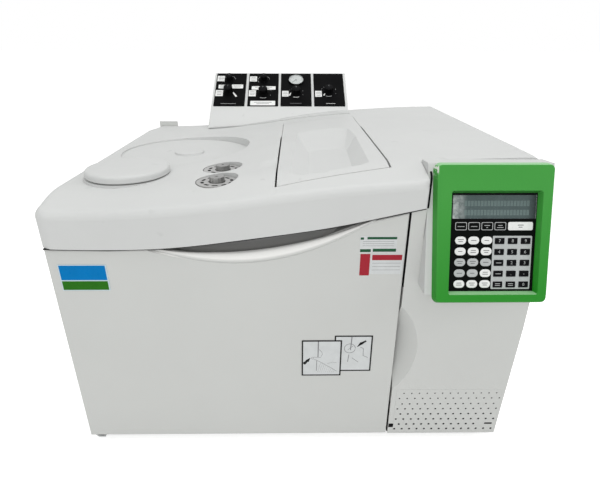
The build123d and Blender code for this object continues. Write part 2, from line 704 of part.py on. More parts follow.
# ------------------------------------------------------------------ oven door
with BuildPart() as scoop_cut:
    for depth, lift in SCOOP_LIP:
        with BuildSketch(front_plane(depth)) as scoop_outline:
            with BuildLine():
                inner = [(x, z + lift) for x, z in DOOR_SCOOP[1:-1]]
                scoop = Spline(DOOR_SCOOP[0], *inner, DOOR_SCOOP[-1])
                Polyline(scoop @ 1, (DOOR_SCOOP[-1][0], 380), (DOOR_SCOOP[0][0], 380), scoop @ 0)
            make_face()
    loft()
    extrude(scoop_outline.sketch, amount=-(SCOOP_BACK - SCOOP_LIP[-1][0]))

with BuildPart() as oven_door_shell:
    with BuildSketch(front_plane(0)):
        with BuildLine():
            Polyline((DOOR_LEFT, DOOR_TOP_LEFT), (DOOR_LEFT, DOOR_BOTTOM), (DOOR_RIGHT, DOOR_BOTTOM),
                     (DOOR_RIGHT, DOOR_TOP_RIGHT), DOOR_SCOOP[0])
            brink = Spline(DOOR_SCOOP[0], (51, 353.5), (-55, 337.5), (-150, 325.8), DOOR_SCOOP[-1])
            Line(brink @ 1, (DOOR_LEFT, DOOR_TOP_LEFT))
        make_face()
    extrude(amount=-DOOR_DEPTH)
    front_rim = oven_door_shell.faces().sort_by(Axis.Y)[0].edges()
    fillet(front_rim, 2)
    add(scoop_cut.part, mode=Mode.SUBTRACT)
    with BuildSketch(front_plane(MOULD)):
        with BuildLine():
            crest = Spline(*HOLLOW_TOP)
            Polyline(crest @ 1, (DOOR_LEFT + MOULD, 321), (DOOR_LEFT + MOULD, 4),
                     (DOOR_RIGHT - MOULD, 4), (DOOR_RIGHT - MOULD, 366), crest @ 0)
        make_face()
    extrude(amount=-DOOR_DEPTH, mode=Mode.SUBTRACT)
    with BuildSketch(front_plane(SCOOP_LIP[-1][0] + 0.5)):
        with BuildLine():
            pocket = Spline(*SCOOP_POCKET)
            Line(pocket @ 1, pocket @ 0)
        make_face()
    extrude(amount=-(SCOOP_BACK - SCOOP_LIP[-1][0] - 0.5), mode=Mode.SUBTRACT)
    for z in (-1, 310):
        with BuildSketch(level(z)):
            with Locations((HINGE_X, HINGE_Y)):
                Circle(HINGE_R + RUN)
        extrude(amount=20, mode=Mode.SUBTRACT)
save(oven_door_shell, "oven_door_shell")

with BuildPart() as door_inner_panel:
    with BuildSketch(front_plane(DOOR_DEPTH)):
        with BuildLine():
            crest = Spline(*[(x, z + 1.5) for x, z in HOLLOW_TOP])
            Polyline(crest @ 1, (-316, 322), (-316, 3), (144.5, 3), (144.5, 368), crest @ 0)
        make_face()
    extrude(amount=-1.5)
save(door_inner_panel, "door_inner_panel")

with BuildPart() as door_insulation_plug:
    with BuildSketch(front_plane(DOOR_DEPTH + 1.5)) as plug:
        span((OVEN_X[0] + 5, OVEN_X[1] - 7), grow(OVEN_Z, -5))
        fillet(plug.vertices(), 12)
    extrude(amount=-19)
    fillet(door_insulation_plug.faces().sort_by(Axis.Y)[-1].edges(), 5)
save(door_insulation_plug, "door_insulation_plug")

with BuildPart() as door_gasket:
    with BuildSketch(front_plane(DOOR_DEPTH + 1.5)) as seal:
        span(grow(OVEN_X, 9), grow(OVEN_Z, 9))
        fillet(seal.vertices(), 14)
        offset(amount=-6, mode=Mode.SUBTRACT)
    extrude(amount=-(FRAME_Y[0] - DOOR_DEPTH - 1.5 - 0.4))
save(door_gasket, "door_gasket")

with BuildPart() as door_hinge_brackets:
    for low, pin_end in ((330, 316), (-4, 10)):
        with BuildSketch(level(low)) as arm:
            span(BRACKET_X, (0.8, FRAME_Y[0]))
            fillet(arm.vertices().group_by(Axis.Y)[0].sort_by(Axis.X)[0], 13)
        extrude(amount=3)
        with BuildSketch(level(low + 1)):
            with Locations((HINGE_X, HINGE_Y)):
                Circle(HINGE_R)
        extrude(amount=pin_end - low - 1)
    with BuildSketch(level(-4)):
        span(BRACKET_X, (FRAME_Y[0] - 1, 60))
    extrude(amount=3.5)
save(door_hinge_brackets, "door_hinge_brackets")

with BuildPart() as door_catch:
    with BuildSketch(front_plane(FRAME_Y[0])):
        with Locations((100, 300)):
            RectangleRounded(34, 14, 3)
    extrude(amount=2)
save(door_catch, "door_catch")

# ------------------------------------------------------------------ injectors and detector
with BuildPart() as injector_block:
    with BuildSketch(level(BLOCK_Z[0])):
        with Locations((-103, 97)):
            RectangleRounded(56, 108, 8)
    extrude(amount=BLOCK_Z[1] - BLOCK_Z[0])
    with BuildSketch(level(BLOCK_Z[1])):
        with Locations(*INJECTORS):
            Circle(9)
    extrude(amount=24)
    with BuildSketch(level(BLOCK_Z[1] + 24)):
        with Locations(*INJECTORS):
            Circle(7)
    extrude(amount=9)
    with BuildSketch(level(BLOCK_Z[0])):
        with Locations(*INJECTORS):
            Circle(INJECTOR_TUBE_R)
    extrude(amount=-(BLOCK_Z[0] - OVEN_Z[1] + 18))
    with BuildSketch(level(OVEN_Z[1] - 18)):
        with Locations(*INJECTORS):
            Circle(1.2)
    extrude(amount=BLOCK_Z[1] + 33 - OVEN_Z[1] + 18, mode=Mode.SUBTRACT)
save(injector_block, "injector_block")

for name, spot in zip(("rear", "front"), INJECTORS):
    with BuildPart() as shield:
        with BuildSketch(level(SHIELD_Z[0])):
            with Locations(spot):
                Circle(INJECTOR_R)
                Circle(11.5, mode=Mode.SUBTRACT)
                with PolarLocations(20, 10, start_angle=18):
                    SlotOverall(9, 4.4, rotation=90, mode=Mode.SUBTRACT)
        extrude(amount=SHIELD_Z[1] - SHIELD_Z[0])
    save(shield, f"{name}_injector_shield")

    with BuildPart() as nut:
        with BuildSketch(level(BLOCK_Z[1] + 24.5)):
            with Locations(spot):
                Circle(10.2)
                with PolarLocations(11.0, 12):
                    Circle(1.3, mode=Mode.SUBTRACT)
        extrude(amount=13)
        with BuildSketch(level(BLOCK_Z[1] + 24.5)):
            with Locations(spot):
                Circle(7 + RUN)
        extrude(amount=9, mode=Mode.SUBTRACT)
        with BuildSketch(level(BLOCK_Z[1] + 24.5)):
            with Locations(spot):
                Circle(2)
        extrude(amount=14, mode=Mode.SUBTRACT)
    save(nut, f"{name}_septum_nut")

with BuildPart() as detector_body:
    for radius, low, high in ((24, 0, 6), (15, 0, 36), (17, 36, 44), (10, 44, 62)):
        with BuildSketch(level(LAGGING_Z[1] + low)):
            with Locations(DETECTOR_AT):
                Circle(radius)
        extrude(amount=high - low)
    with BuildSketch(level(LAGGING_Z[1])):
        with Locations(DETECTOR_AT):
            Circle(DETECTOR_TUBE_R)
    extrude(amount=-(LAGGING_Z[1] - OVEN_Z[1] + 14))
    with BuildSketch(level(LAGGING_Z[1] + 40)):
        with Locations(DETECTOR_AT):
            Circle(6)
    extrude(amount=30, mode=Mode.SUBTRACT)
save(detector_body, "detector_body")

# ------------------------------------------------------------------ gas-control panel
with BuildPart() as gas_panel_housing:
    with BuildSketch(side_plane(GAS_X[0])):
        with BuildLine():
            Polyline((GAS_FOOT[0] - 14.8, 382.4), (GAS_TOP_Y, GAS_TOP_Z), (GAS_TOP_Y, 360),
                     (GAS_FOOT[0] - 14.8, 360), close=True)
        make_face()
    extrude(amount=GAS_X[1] - GAS_X[0])
    slope = max(gas_panel_housing.faces(), key=lambda f: f.normal_at().Z)
    fillet(slope.edges().filter_by(Axis.X).sort_by(Axis.Z)[-1], 6)
    with BuildSketch(side_plane(GAS_X[0] + MOULD)):
        with BuildLine():
            Polyline((GAS_FOOT[0] - 9, 382.4), (GAS_TOP_Y - MOULD, GAS_TOP_Z - 5.4),
                     (GAS_TOP_Y - MOULD, 350), (GAS_FOOT[0] - 9, 350), close=True)
        make_face()
    extrude(amount=GAS_X[1] - GAS_X[0] - 2 * MOULD, mode=Mode.SUBTRACT)
    add(cover_outer, mode=Mode.SUBTRACT)
    with BuildSketch(level(340)):
        span((-200, 140), (430, COVER_BACK + 1 + SHEET))
    extrude(amount=42.2, mode=Mode.SUBTRACT)
    with BuildSketch(gas_plane(2)):
        for x, up, radius in KNOBS.values():
            with Locations((x, up)):
                Circle(HINGE_R + 0.4)
        with Locations(GAUGE_AT):
            Circle(GAUGE_R - 1)
    extrude(amount=-16, mode=Mode.SUBTRACT)
save(gas_panel_housing, "gas_panel_housing")

for name, (left, right) in FASCIAS.items():
    with BuildPart() as fascia:
        with BuildSketch(gas_plane()) as outline:
            span((left, right), FASCIA_UP)
            fillet(outline.vertices(), 1.5)
            for x, up, radius in KNOBS.values():
                if left < x < right:
                    with Locations((x, up)):
                        Circle(HINGE_R + 0.4, mode=Mode.SUBTRACT)
            if left < GAUGE_AT[0] < right:
                with Locations(GAUGE_AT):
                    Circle(GAUGE_R - 1, mode=Mode.SUBTRACT)
        extrude(amount=1.5)
    save(fascia, name)

with BuildPart() as valve_manifold:
    with BuildSketch(gas_plane(-MOULD - 0.3)):
        span((-176, 106), (100, 175))
        for x, up, radius in KNOBS.values():
            with Locations((x, up)):
                Circle(HINGE_R + RUN, mode=Mode.SUBTRACT)
        with Locations(GAUGE_AT):
            Circle(GAUGE_R, mode=Mode.SUBTRACT)
    extrude(amount=-20)
save(valve_manifold, "valve_manifold")

for name, (x, up, radius) in KNOBS.items():
    with BuildPart() as knob:
        with BuildSketch(gas_plane(2.0)):
            with Locations((x, up)):
                Circle(radius + 1.5)
        extrude(amount=2, taper=25)
        with BuildSketch(gas_plane(4.0)):
            with Locations((x, up)):
                Circle(radius)
                with PolarLocations(radius + 1.6, 10):
                    Circle(2.4, mode=Mode.SUBTRACT)
        extrude(amount=11, taper=2)
        with BuildSketch(gas_plane(3)):
            with Locations((x, up)):
                Circle(HINGE_R)
        extrude(amount=-22)
    save(knob, name)

with BuildPart() as gauge_case:
    with BuildSketch(gas_plane(1.5)):
        with Locations(GAUGE_AT):
            Circle(GAUGE_R)
    extrude(amount=4)
    with BuildSketch(gas_plane(1.5)):
        with Locations(GAUGE_AT):
            Circle(GAUGE_R - 1.2)
    extrude(amount=-24)
    with BuildSketch(gas_plane(2.5)):
        with Locations(GAUGE_AT):
            Circle(GAUGE_R - 1.6)
    extrude(amount=5, mode=Mode.SUBTRACT)
    with BuildSketch(gas_plane(0)):
        with Locations(GAUGE_AT):
            Circle(0.8 + RUN)
    extrude(amount=3, mode=Mode.SUBTRACT)
save(gauge_case, "gauge_case")

with BuildPart() as gauge_needle:
    with BuildSketch(gas_plane(3.1)):
        with Locations(GAUGE_AT):
            Circle(2.2)
        with Locations((GAUGE_AT[0] - 4.2, GAUGE_AT[1] - 3.6)):
            Rectangle(13, 1.1, rotation=40)
    extrude(amount=0.7)
    with BuildSketch(gas_plane(3.1)):
        with Locations(GAUGE_AT):
            Circle(0.8)
    extrude(amount=-2.6)
save(gauge_needle, "gauge_needle")

with BuildPart() as gauge_glass:
    with BuildSketch(gas_plane(4.3)):
        with Locations(GAUGE_AT):
            Circle(GAUGE_R - 1.6)
    extrude(amount=1)
save(gauge_glass, "gauge_glass")

# ------------------------------------------------------------------ keypad console
console_back_foot = (CONSOLE_FOOT[0] + BEZEL_DEPTH * cos(LEAN), CONSOLE_FOOT[1] - BEZEL_DEPTH * sin(LEAN))
console_back_top = (console_back_foot[0] + (BEZEL_HEIGHT - 2) * sin(LEAN),
                    console_back_foot[1] + (BEZEL_HEIGHT - 2) * cos(LEAN))


def console_y(z, wall):
    """The depth of the console's leaning front wall at a height, set in by a wall."""
    rise = z - console_back_foot[1]
    return console_back_foot[0] + rise * sin(LEAN) / cos(LEAN) + wall / cos(LEAN)


with BuildPart() as console_housing:
    with BuildSketch(side_plane(CONSOLE_X[0])):
        with BuildLine():
            Polyline((console_y(CONSOLE_UNDER, 0), CONSOLE_UNDER), (0, CONSOLE_UNDER), (0, SHOULDER),
                     (NOTCH_Y - 0.3, SHOULDER), (NOTCH_Y - 0.3, 431),
                     (console_y(CONSOLE_TOP, 0), CONSOLE_TOP), close=True)
        make_face()
    extrude(amount=CONSOLE_X[1] - CONSOLE_X[0])
    with BuildSketch(side_plane(CONSOLE_X[0] + MOULD)):
        with BuildLine():
            Polyline((console_y(CONSOLE_UNDER + MOULD, MOULD), CONSOLE_UNDER + MOULD),
                     (2, CONSOLE_UNDER + MOULD), (2, SHOULDER + MOULD), (NOTCH_Y - 3.3, SHOULDER + MOULD),
                     (NOTCH_Y - 3.3, 427.5), (console_y(CONSOLE_TOP - MOULD, MOULD), CONSOLE_TOP - MOULD),
                     close=True)
        make_face()
    extrude(amount=CONSOLE_X[1] - CONSOLE_X[0] - 2 * MOULD, mode=Mode.SUBTRACT)
    with BuildSketch(console_plane(-BEZEL_DEPTH)):
        span((204, 302), (20, 134))
    extrude(amount=-MOULD - 1, mode=Mode.SUBTRACT)
save(console_housing, "console_housing")

with BuildPart() as keypad_bezel:
    with BuildSketch(console_plane()) as face:
        with BuildLine():
            Polyline((181, 0), (320, 0), (321.5, BEZEL_HEIGHT), (177.5, BEZEL_HEIGHT), close=True)
        make_face()
        fillet(face.vertices(), 6)
    extrude(amount=-BEZEL_DEPTH, taper=-16)
    rim = keypad_bezel.faces().sort_by(Axis((0, 0, 0), console_plane().z_dir))[-1].edges()
    fillet(rim, 1.5)
    with BuildSketch(console_plane()) as window:
        span(WINDOW_X, WINDOW_UP)
        fillet(window.vertices(), 3)
    extrude(amount=-8, taper=20, mode=Mode.SUBTRACT)
    with BuildSketch(console_plane(-8)):
        span(KEYPAD_X, KEYPAD_UP)
    extrude(amount=-3, mode=Mode.SUBTRACT)
save(keypad_bezel, "keypad_bezel")


with BuildPart() as keypad_overlay:
    with BuildSketch(console_plane(-8)):
        span(KEYPAD_X, KEYPAD_UP)
    extrude(amount=-2)
    with BuildSketch(console_plane(-8)):
        span(DISPLAY_X, DISPLAY_UP)
    extrude(amount=-2, mode=Mode.SUBTRACT)
    with BuildSketch(console_plane(-8)):
        with Locations(OVAL_KEYS_AT):
            with GridLocations(*KEY_PITCH, 3, 5):
                RectangleRounded(13.9, 9.8, 4.4)
        with Locations(DIGIT_KEYS_AT):
            with GridLocations(*KEY_PITCH, 3, 5):
                RectangleRounded(12, 7.6, 0.8)
        with Locations(FUNCTION_KEYS_AT):
            with GridLocations(KEY_PITCH[0], 1, 4, 1):
                RectangleRounded(14.6, 10.2, 1.8)
        with Locations(START_KEY_AT):
            RectangleRounded(31, 10.4, 2)
    extrude(amount=KEY_RISE)
save(keypad_overlay, "keypad_overlay")

with BuildPart() as display_glass:
    with BuildSketch(console_plane(-8.4)):
        span(DISPLAY_X, DISPLAY_UP)
    extrude(amount=-1.6)
save(display_glass, "display_glass")

with BuildPart() as display_module:
    with BuildSketch(console_plane(-BEZEL_DEPTH)):
        span((205, 301), (107, 133))
    extrude(amount=-12)
save(display_module, "display_module")

# ------------------------------------------------------------------ electronics and rear fittings
with BuildPart() as main_board:
    with BuildSketch(side_plane(162)):
        span((70, 500), (40, 290))
    extrude(amount=1.6)
    with BuildSketch(side_plane(146)):
        for y in (80, 280):
            for z in (50, 280):
                with Locations((y, z)):
                    Circle(4)
    extrude(amount=16)
    with BuildSketch(side_plane(163.6)):
        with Locations((300, 180)):
            with GridLocations(90, 80, 4, 2):
                Rectangle(50, 16)
    extrude(amount=5)
save(main_board, "main_board")

with BuildPart() as transformer:
    with BuildSketch(level(SHEET)):
        with Locations((240, 560)):
            Rectangle(90, 84)
    extrude(amount=76)
    with BuildSketch(level(SHEET + 18)):
        with Locations((240, 560)):
            Rectangle(60, 112)
    extrude(amount=42)
    with BuildSketch(level(SHEET)):
        with Locations((240, 560)):
            Rectangle(116, 84)
    extrude(amount=3)
save(transformer, "transformer")

with BuildPart() as power_inlet:
    with BuildSketch(front_plane(BODY_BACK)) as flange:
        span(INLET_X, INLET_Z)
        fillet(flange.vertices(), 3)
    extrude(amount=-3)
    with BuildSketch(front_plane(BODY_BACK)):
        span(grow(INLET_X, -8.3), grow(INLET_Z, -6.3))
    extrude(amount=26)
    with BuildSketch(front_plane(BODY_BACK + 3)) as socket:
        with Locations(SOCKET_MID):
            Rectangle(24.4, 16.6)
        chamfer(socket.vertices().sort_by(Axis.Z)[-2:], 4)
    extrude(amount=17, mode=Mode.SUBTRACT)
    with BuildSketch(front_plane(BODY_BACK + 3)):
        with Locations((230, ROCKER_AT[1])):
            Rectangle(17.6, 24)
    extrude(amount=20, mode=Mode.SUBTRACT)
    with BuildSketch(side_plane(218)):
        with Locations(ROCKER_AT):
            Circle(1.5 + RUN)
    extrude(amount=24, mode=Mode.SUBTRACT)
save(power_inlet, "power_inlet")

with BuildPart() as inlet_pins:
    with BuildSketch(front_plane(BODY_BACK - 14)):
        for x, z in ((223, 61), (237, 61), (230, 65)):
            with Locations((x, z)):
                Rectangle(2, 4)
    extrude(amount=-13)
save(inlet_pins, "inlet_pins")

with BuildPart() as power_rocker:
    with BuildSketch(side_plane(221.5)):
        with BuildLine():
            Polyline(*[(ROCKER_AT[0] + y, ROCKER_AT[1] + z) for y, z in ROCKER], close=True)
        make_face()
    extrude(amount=17)
    with BuildSketch(side_plane(219)):
        with Locations(ROCKER_AT):
            Circle(1.5)
    extrude(amount=22)
save(power_rocker, "power_rocker")

with BuildPart() as gas_bulkhead_fittings:
    for x in FITTINGS_X:
        with BuildSketch(front_plane(BODY_BACK + 6)):
            with Locations((x, FITTINGS_Z)):
                RegularPolygon(7.1, 6, major_radius=False)
        extrude(amount=6)
        with BuildSketch(front_plane(BODY_BACK + 17)):
            with Locations((x, FITTINGS_Z)):
                Circle(4)
        extrude(amount=12)
        with BuildSketch(front_plane(BODY_BACK)):
            with Locations((x, FITTINGS_Z)):
                Circle(5)
        extrude(amount=24)
        with BuildSketch(front_plane(BODY_BACK + 17)):
            with Locations((x, FITTINGS_Z)):
                Circle(1.65)
        extrude(amount=8, mode=Mode.SUBTRACT)
save(gas_bulkhead_fittings, "gas_bulkhead_fittings")
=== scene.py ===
import json
from math import cos, radians, sin

import bmesh
import bpy
from mathutils import Matrix, Vector


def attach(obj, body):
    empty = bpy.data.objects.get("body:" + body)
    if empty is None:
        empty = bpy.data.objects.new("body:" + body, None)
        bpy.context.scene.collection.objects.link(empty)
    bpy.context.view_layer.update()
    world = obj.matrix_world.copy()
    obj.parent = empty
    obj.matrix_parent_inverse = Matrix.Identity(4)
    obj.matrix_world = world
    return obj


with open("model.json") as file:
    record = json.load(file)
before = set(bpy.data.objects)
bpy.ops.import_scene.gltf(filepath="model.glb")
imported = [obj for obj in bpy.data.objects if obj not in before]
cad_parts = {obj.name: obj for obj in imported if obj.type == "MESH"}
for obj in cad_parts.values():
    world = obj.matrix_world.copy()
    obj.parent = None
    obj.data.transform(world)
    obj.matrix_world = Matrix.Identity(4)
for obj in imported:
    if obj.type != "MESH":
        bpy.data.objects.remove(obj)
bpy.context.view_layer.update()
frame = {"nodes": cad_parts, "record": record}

# ------------------------------------------------------------------ shared measures (millimetres)
MM = 0.001
FRONT = -315.0            # Y of the oven door's outer face
BASE = 12.0               # Z of the body's lower edge
IMAGE_WIDTH = 600.0       # the photograph's width in pixels
FOCAL_PX = 445.73         # focal length in those pixels
SENSOR = 36.0
CAMERA_AT = (2.89, -521.45, 569.77)   # from the door's face and the body's lower edge
CAMERA_PITCH, CAMERA_YAW, CAMERA_ROLL = 24.21, 0.74, -0.18

GAS_TILT, GAS_FOOT = 34.0, (490.5, 392.4)             # from the level; its foot's place in y and z
CONSOLE_TILT, CONSOLE_FOOT = 17.5, (-42.0, 270.0)     # from the upright

# the finger scoop's rim: its lowest point, and how it rises with the square of the distance from there
SCOOP_MID, SCOOP_FOOT, SCOOP_CURVE = -75.0, 305.0, 0.001846


def spot(x, y, z):
    """A point given in mm from the middle, the door's face and the body's lower edge."""
    return Vector((x, FRONT + y, BASE + z)) * MM


# ------------------------------------------------------------------ camera, lamps and floor
AMBIENT = 0.55            # strength of the world's light on the object
GLOSSY_SHARE = 0.6        # how strongly the white surroundings show in reflections
FLOOR_REACH = 30.0        # metres from the middle
FLOOR_LIFT = 0.58         # the glow that shows the floor white to the camera
# name, place, target, size in metres and watts
LAMPS = (
    ("overhead", (0.1, -0.1, 2.3), (0, 0, 0.3), 1.8, 20),
    ("front_fill", (-0.5, -2.4, 1.1), (0, 0, 0.25), 1.6, 15.5),
    ("right_fill", (2.2, -1.0, 1.4), (0, 0, 0.3), 1.2, 8),
)


def math_of(tree, operation, *values):
    """The outlet of a math node, fed by other outlets or by plain numbers."""
    made = tree.nodes.new("ShaderNodeMath")
    made.operation = operation
    for place, value in enumerate(values):
        if isinstance(value, float):
            made.inputs[place].default_value = value
        else:
            tree.links.new(value, made.inputs[place])
    return made.outputs[0]


def make_camera():
    """The photograph's camera: pitched down, turned a little to the right and hardly rolled."""
    pitch, yaw, roll = (radians(a) for a in (CAMERA_PITCH, CAMERA_YAW, CAMERA_ROLL))
    forward = Vector((sin(yaw) * cos(pitch), cos(yaw) * cos(pitch), -sin(pitch)))
    right = Vector((cos(yaw), -sin(yaw), 0))
    down = forward.cross(right)
    rolled_right = right * cos(roll) + down * sin(roll)
    rolled_down = down * cos(roll) - right * sin(roll)
    data = bpy.data.cameras.new("camera")
    data.sensor_width = SENSOR
    data.lens = FOCAL_PX / IMAGE_WIDTH * SENSOR
    data.clip_start = 0.01
    camera = bpy.data.objects.new("camera", data)
    turn = Matrix((rolled_right, -rolled_down, -forward)).transposed()
    camera.matrix_world = Matrix.Translation(spot(*CAMERA_AT)) @ turn.to_4x4()
    bpy.context.scene.collection.objects.link(camera)
    bpy.context.scene.camera = camera


def make_lamp(name, place, target, size, watts):
    data = bpy.data.lights.new(name, "AREA")
    data.shape = "DISK"
    data.size = size
    data.energy = watts
    lamp = bpy.data.objects.new(name, data)
    lamp.location = place
    lamp.rotation_euler = (Vector(target) - Vector(place)).to_track_quat("-Z", "Y").to_euler()
    bpy.context.scene.collection.objects.link(lamp)


def make_world():
    """White to the camera and in reflections, a soft grey light on everything else."""
    world = bpy.data.worlds.new("studio")
    bpy.context.scene.world = world
    world.use_nodes = True
    tree = world.node_tree
    nodes, links = tree.nodes, tree.links
    nodes.clear()
    out, path = nodes.new("ShaderNodeOutputWorld"), nodes.new("ShaderNodeLightPath")
    direct = math_of(tree, "MAXIMUM", path.outputs["Is Camera Ray"], path.outputs["Is Transmission Ray"])
    glossy = math_of(tree, "MULTIPLY", path.outputs["Is Glossy Ray"], GLOSSY_SHARE)
    shown = math_of(tree, "MAXIMUM", direct, glossy)
    soft, white = nodes.new("ShaderNodeBackground"), nodes.new("ShaderNodeBackground")
    soft.inputs["Color"].default_value = (1.0, 1.0, 0.985, 1)
    soft.inputs["Strength"].default_value = AMBIENT
    white.inputs["Color"].default_value = (1, 1, 1, 1)
    mix = nodes.new("ShaderNodeMixShader")
    links.new(shown, mix.inputs[0])
    links.new(soft.outputs[0], mix.inputs[1])
    links.new(white.outputs[0], mix.inputs[2])
    links.new(mix.outputs[0], out.inputs["Surface"])


def make_floor():
    """A pale floor that shows white to the camera outside the object's soft shadow."""
    mesh = bpy.data.meshes.new("floor")
    corners = [(x * FLOOR_REACH, y * FLOOR_REACH, 0) for x, y in ((-1, -1), (1, -1), (1, 1), (-1, 1))]
    mesh.from_pydata(corners, [], [(0, 1, 2, 3)])
    floor = bpy.data.objects.new("floor", mesh)
    bpy.context.scene.collection.objects.link(floor)
    material = bpy.data.materials.new("floor")
    material.use_nodes = True
    tree = material.node_tree
    nodes, links = tree.nodes, tree.links
    nodes.clear()
    out, path = nodes.new("ShaderNodeOutputMaterial"), nodes.new("ShaderNodeLightPath")
    matt, glow = nodes.new("ShaderNodeBsdfDiffuse"), nodes.new("ShaderNodeEmission")
    matt.inputs["Color"].default_value = (0.86, 0.86, 0.86, 1)
    seen = math_of(tree, "MAXIMUM", path.outputs["Is Camera Ray"], path.outputs["Is Glossy Ray"])
    links.new(math_of(tree, "MULTIPLY", seen, FLOOR_LIFT), glow.inputs["Strength"])
    add = nodes.new("ShaderNodeAddShader")
    links.new(matt.outputs[0], add.inputs[0])
    links.new(glow.outputs[0], add.inputs[1])
    links.new(add.outputs[0], out.inputs["Surface"])
    mesh.materials.append(material)


# ------------------------------------------------------------------ materials
def color_socket(sockets, name):
    """The colour socket among a mix node's sockets of one name."""
    return next(s for s in sockets if s.name == name and s.type == "RGBA")


class Surface:
    """A Principled material whose colour, roughness and bump are worked out in object space."""

    def __init__(self, name, color, rough, metal=0.0, **sockets):
        self.material = bpy.data.materials.new(name)
        self.material.use_nodes = True
        self.tree = self.material.node_tree
        self.shader = self.tree.nodes["Principled BSDF"]
        self.shader.inputs["Base Color"].default_value = (*color, 1)
        self.shader.inputs["Roughness"].default_value = rough
        self.shader.inputs["Metallic"].default_value = metal
        for socket, value in sockets.items():
            self.shader.inputs[socket.replace("_", " ")].default_value = value
        self.color, self.rough = color, rough
        self.coords = self.tree.nodes.new("ShaderNodeTexCoord").outputs["Object"]
        self.color_out = None
        self.normal_out = None

    def node(self, kind, **settings):
        made = self.tree.nodes.new(kind)
        for key, value in settings.items():
            setattr(made, key, value)
        return made

    def link(self, source, target):
        self.tree.links.new(source, target)

    def stretch(self, scale):
        """Object coordinates scaled apart along the axes."""
        mapping = self.node("ShaderNodeMapping")
        mapping.inputs["Scale"].default_value = scale
        self.link(self.coords, mapping.inputs["Vector"])
        return mapping.outputs["Vector"]

    def noise(self, scale, detail=4.0, rough=0.6, vector=None):
        """A noise in object space, or along a vector of its own."""
        made = self.node("ShaderNodeTexNoise")
        made.inputs["Scale"].default_value = scale
        made.inputs["Detail"].default_value = detail
        made.inputs["Roughness"].default_value = rough
        self.link(vector or self.coords, made.inputs["Vector"])
        return made.outputs["Fac"]

    def ramp(self, value, low, high, out_low=0.0, out_high=1.0):
        """The value carried from one range to another, and held at its ends."""
        made = self.node("ShaderNodeMapRange")
        for socket, number in zip(("From Min", "From Max", "To Min", "To Max"),
                                  (low, high, out_low, out_high)):
            made.inputs[socket].default_value = number
        self.link(value, made.inputs["Value"])
        return made.outputs["Result"]

    def axes(self):
        """The three object coordinates."""
        made = self.node("ShaderNodeSeparateXYZ")
        self.link(self.coords, made.inputs["Vector"])
        return made.outputs["X"], made.outputs["Y"], made.outputs["Z"]

    def facing(self, axis):
        """How far the surface faces along one axis of the scene."""
        made = self.node("ShaderNodeSeparateXYZ")
        self.link(self.node("ShaderNodeNewGeometry").outputs["Normal"], made.inputs["Vector"])
        return made.outputs[axis]

    def both(self, first, second):
        """High only where both masks are high."""
        return math_of(self.tree, "MULTIPLY", first, second)

    def tint(self, mask, color):
        """Blend the colour so far towards another where the mask is high."""
        mix = self.node("ShaderNodeMix", data_type="RGBA")
        so_far = color_socket(mix.inputs, "A")
        self.link(mask, mix.inputs["Factor"])
        if self.color_out is None:
            so_far.default_value = (*self.color, 1)
        else:
            self.link(self.color_out, so_far)
        color_socket(mix.inputs, "B").default_value = (*color, 1)
        self.color_out = color_socket(mix.outputs, "Result")
        self.link(self.color_out, self.shader.inputs["Base Color"])
        return self

    def mottle(self, scale, amount, detail=3.0):
        """Uneven tone, in patches that are a little darker."""
        value = self.noise(scale, detail)
        darker = tuple(c * (1 - amount) for c in self.color)
        return self.tint(self.ramp(value, 0.35, 0.7), darker)

    def speckle(self, scale, low, high, color):
        """Small marks of another colour where a noise passes a threshold."""
        return self.tint(self.ramp(self.noise(scale, 2.0, 0.5), low, high), color)

    def uneven_gloss(self, scale, spread):
        """Roughness that wanders this far to both sides of its mean."""
        value = self.ramp(self.noise(scale, 5.0, 0.65), 0.3, 0.7, self.rough - spread, self.rough + spread)
        self.link(value, self.shader.inputs["Roughness"])
        return self

    def bump(self, scale, depth, strength=1.0, detail=3.0, vector=None):
        """Relief of a given depth in metres."""
        made = self.node("ShaderNodeBump")
        made.inputs["Strength"].default_value = strength
        made.inputs["Distance"].default_value = depth
        self.link(self.noise(scale, detail, 0.6, vector), made.inputs["Height"])
        if self.normal_out is not None:
            self.link(self.normal_out, made.inputs["Normal"])
        self.normal_out = made.outputs["Normal"]
        self.link(self.normal_out, self.shader.inputs["Normal"])
        return self

    def soften(self, radius):
        """Rounded shading on sharp edges, before any bump."""
        made = self.node("ShaderNodeBevel", samples=4)
        made.inputs["Radius"].default_value = radius
        self.normal_out = made.outputs["Normal"]
        self.link(self.normal_out, self.shader.inputs["Normal"])
        return self

    def grime(self, distance, color, strength):
        """Painted shade: the colour darkened in seams and inner corners, where ambient occlusion finds them
        shaded.
        """
        occlusion = self.node("ShaderNodeAmbientOcclusion", samples=4)
        occlusion.inputs["Distance"].default_value = distance
        return self.tint(self.ramp(occlusion.outputs["AO"], 0.75, 0.1, 0.0, strength), color)


def moulded_plastic(name, color, rough=0.5):
    made = Surface(name, color, rough, Specular_IOR_Level=0.35)
    made.soften(0.0009).mottle(6, 0.03).speckle(38, 0.71, 0.76, tuple(c * 0.92 for c in color))
    # painted shade in seams and inner corners
    made.grime(0.003, (0.30, 0.29, 0.27), 0.2)
    return made.uneven_gloss(9, 0.07).bump(900, 0.00006, 0.6).bump(60, 0.00012, 0.35)


def powder_paint(name, color, rough=0.45):
    made = Surface(name, color, rough, Specular_IOR_Level=0.4)
    made.soften(0.0008).mottle(4, 0.03)
    # painted shade in seams and inner corners
    made.grime(0.006, (0.25, 0.24, 0.22), 0.4)
    return made.uneven_gloss(7, 0.06).bump(420, 0.00008, 0.6)


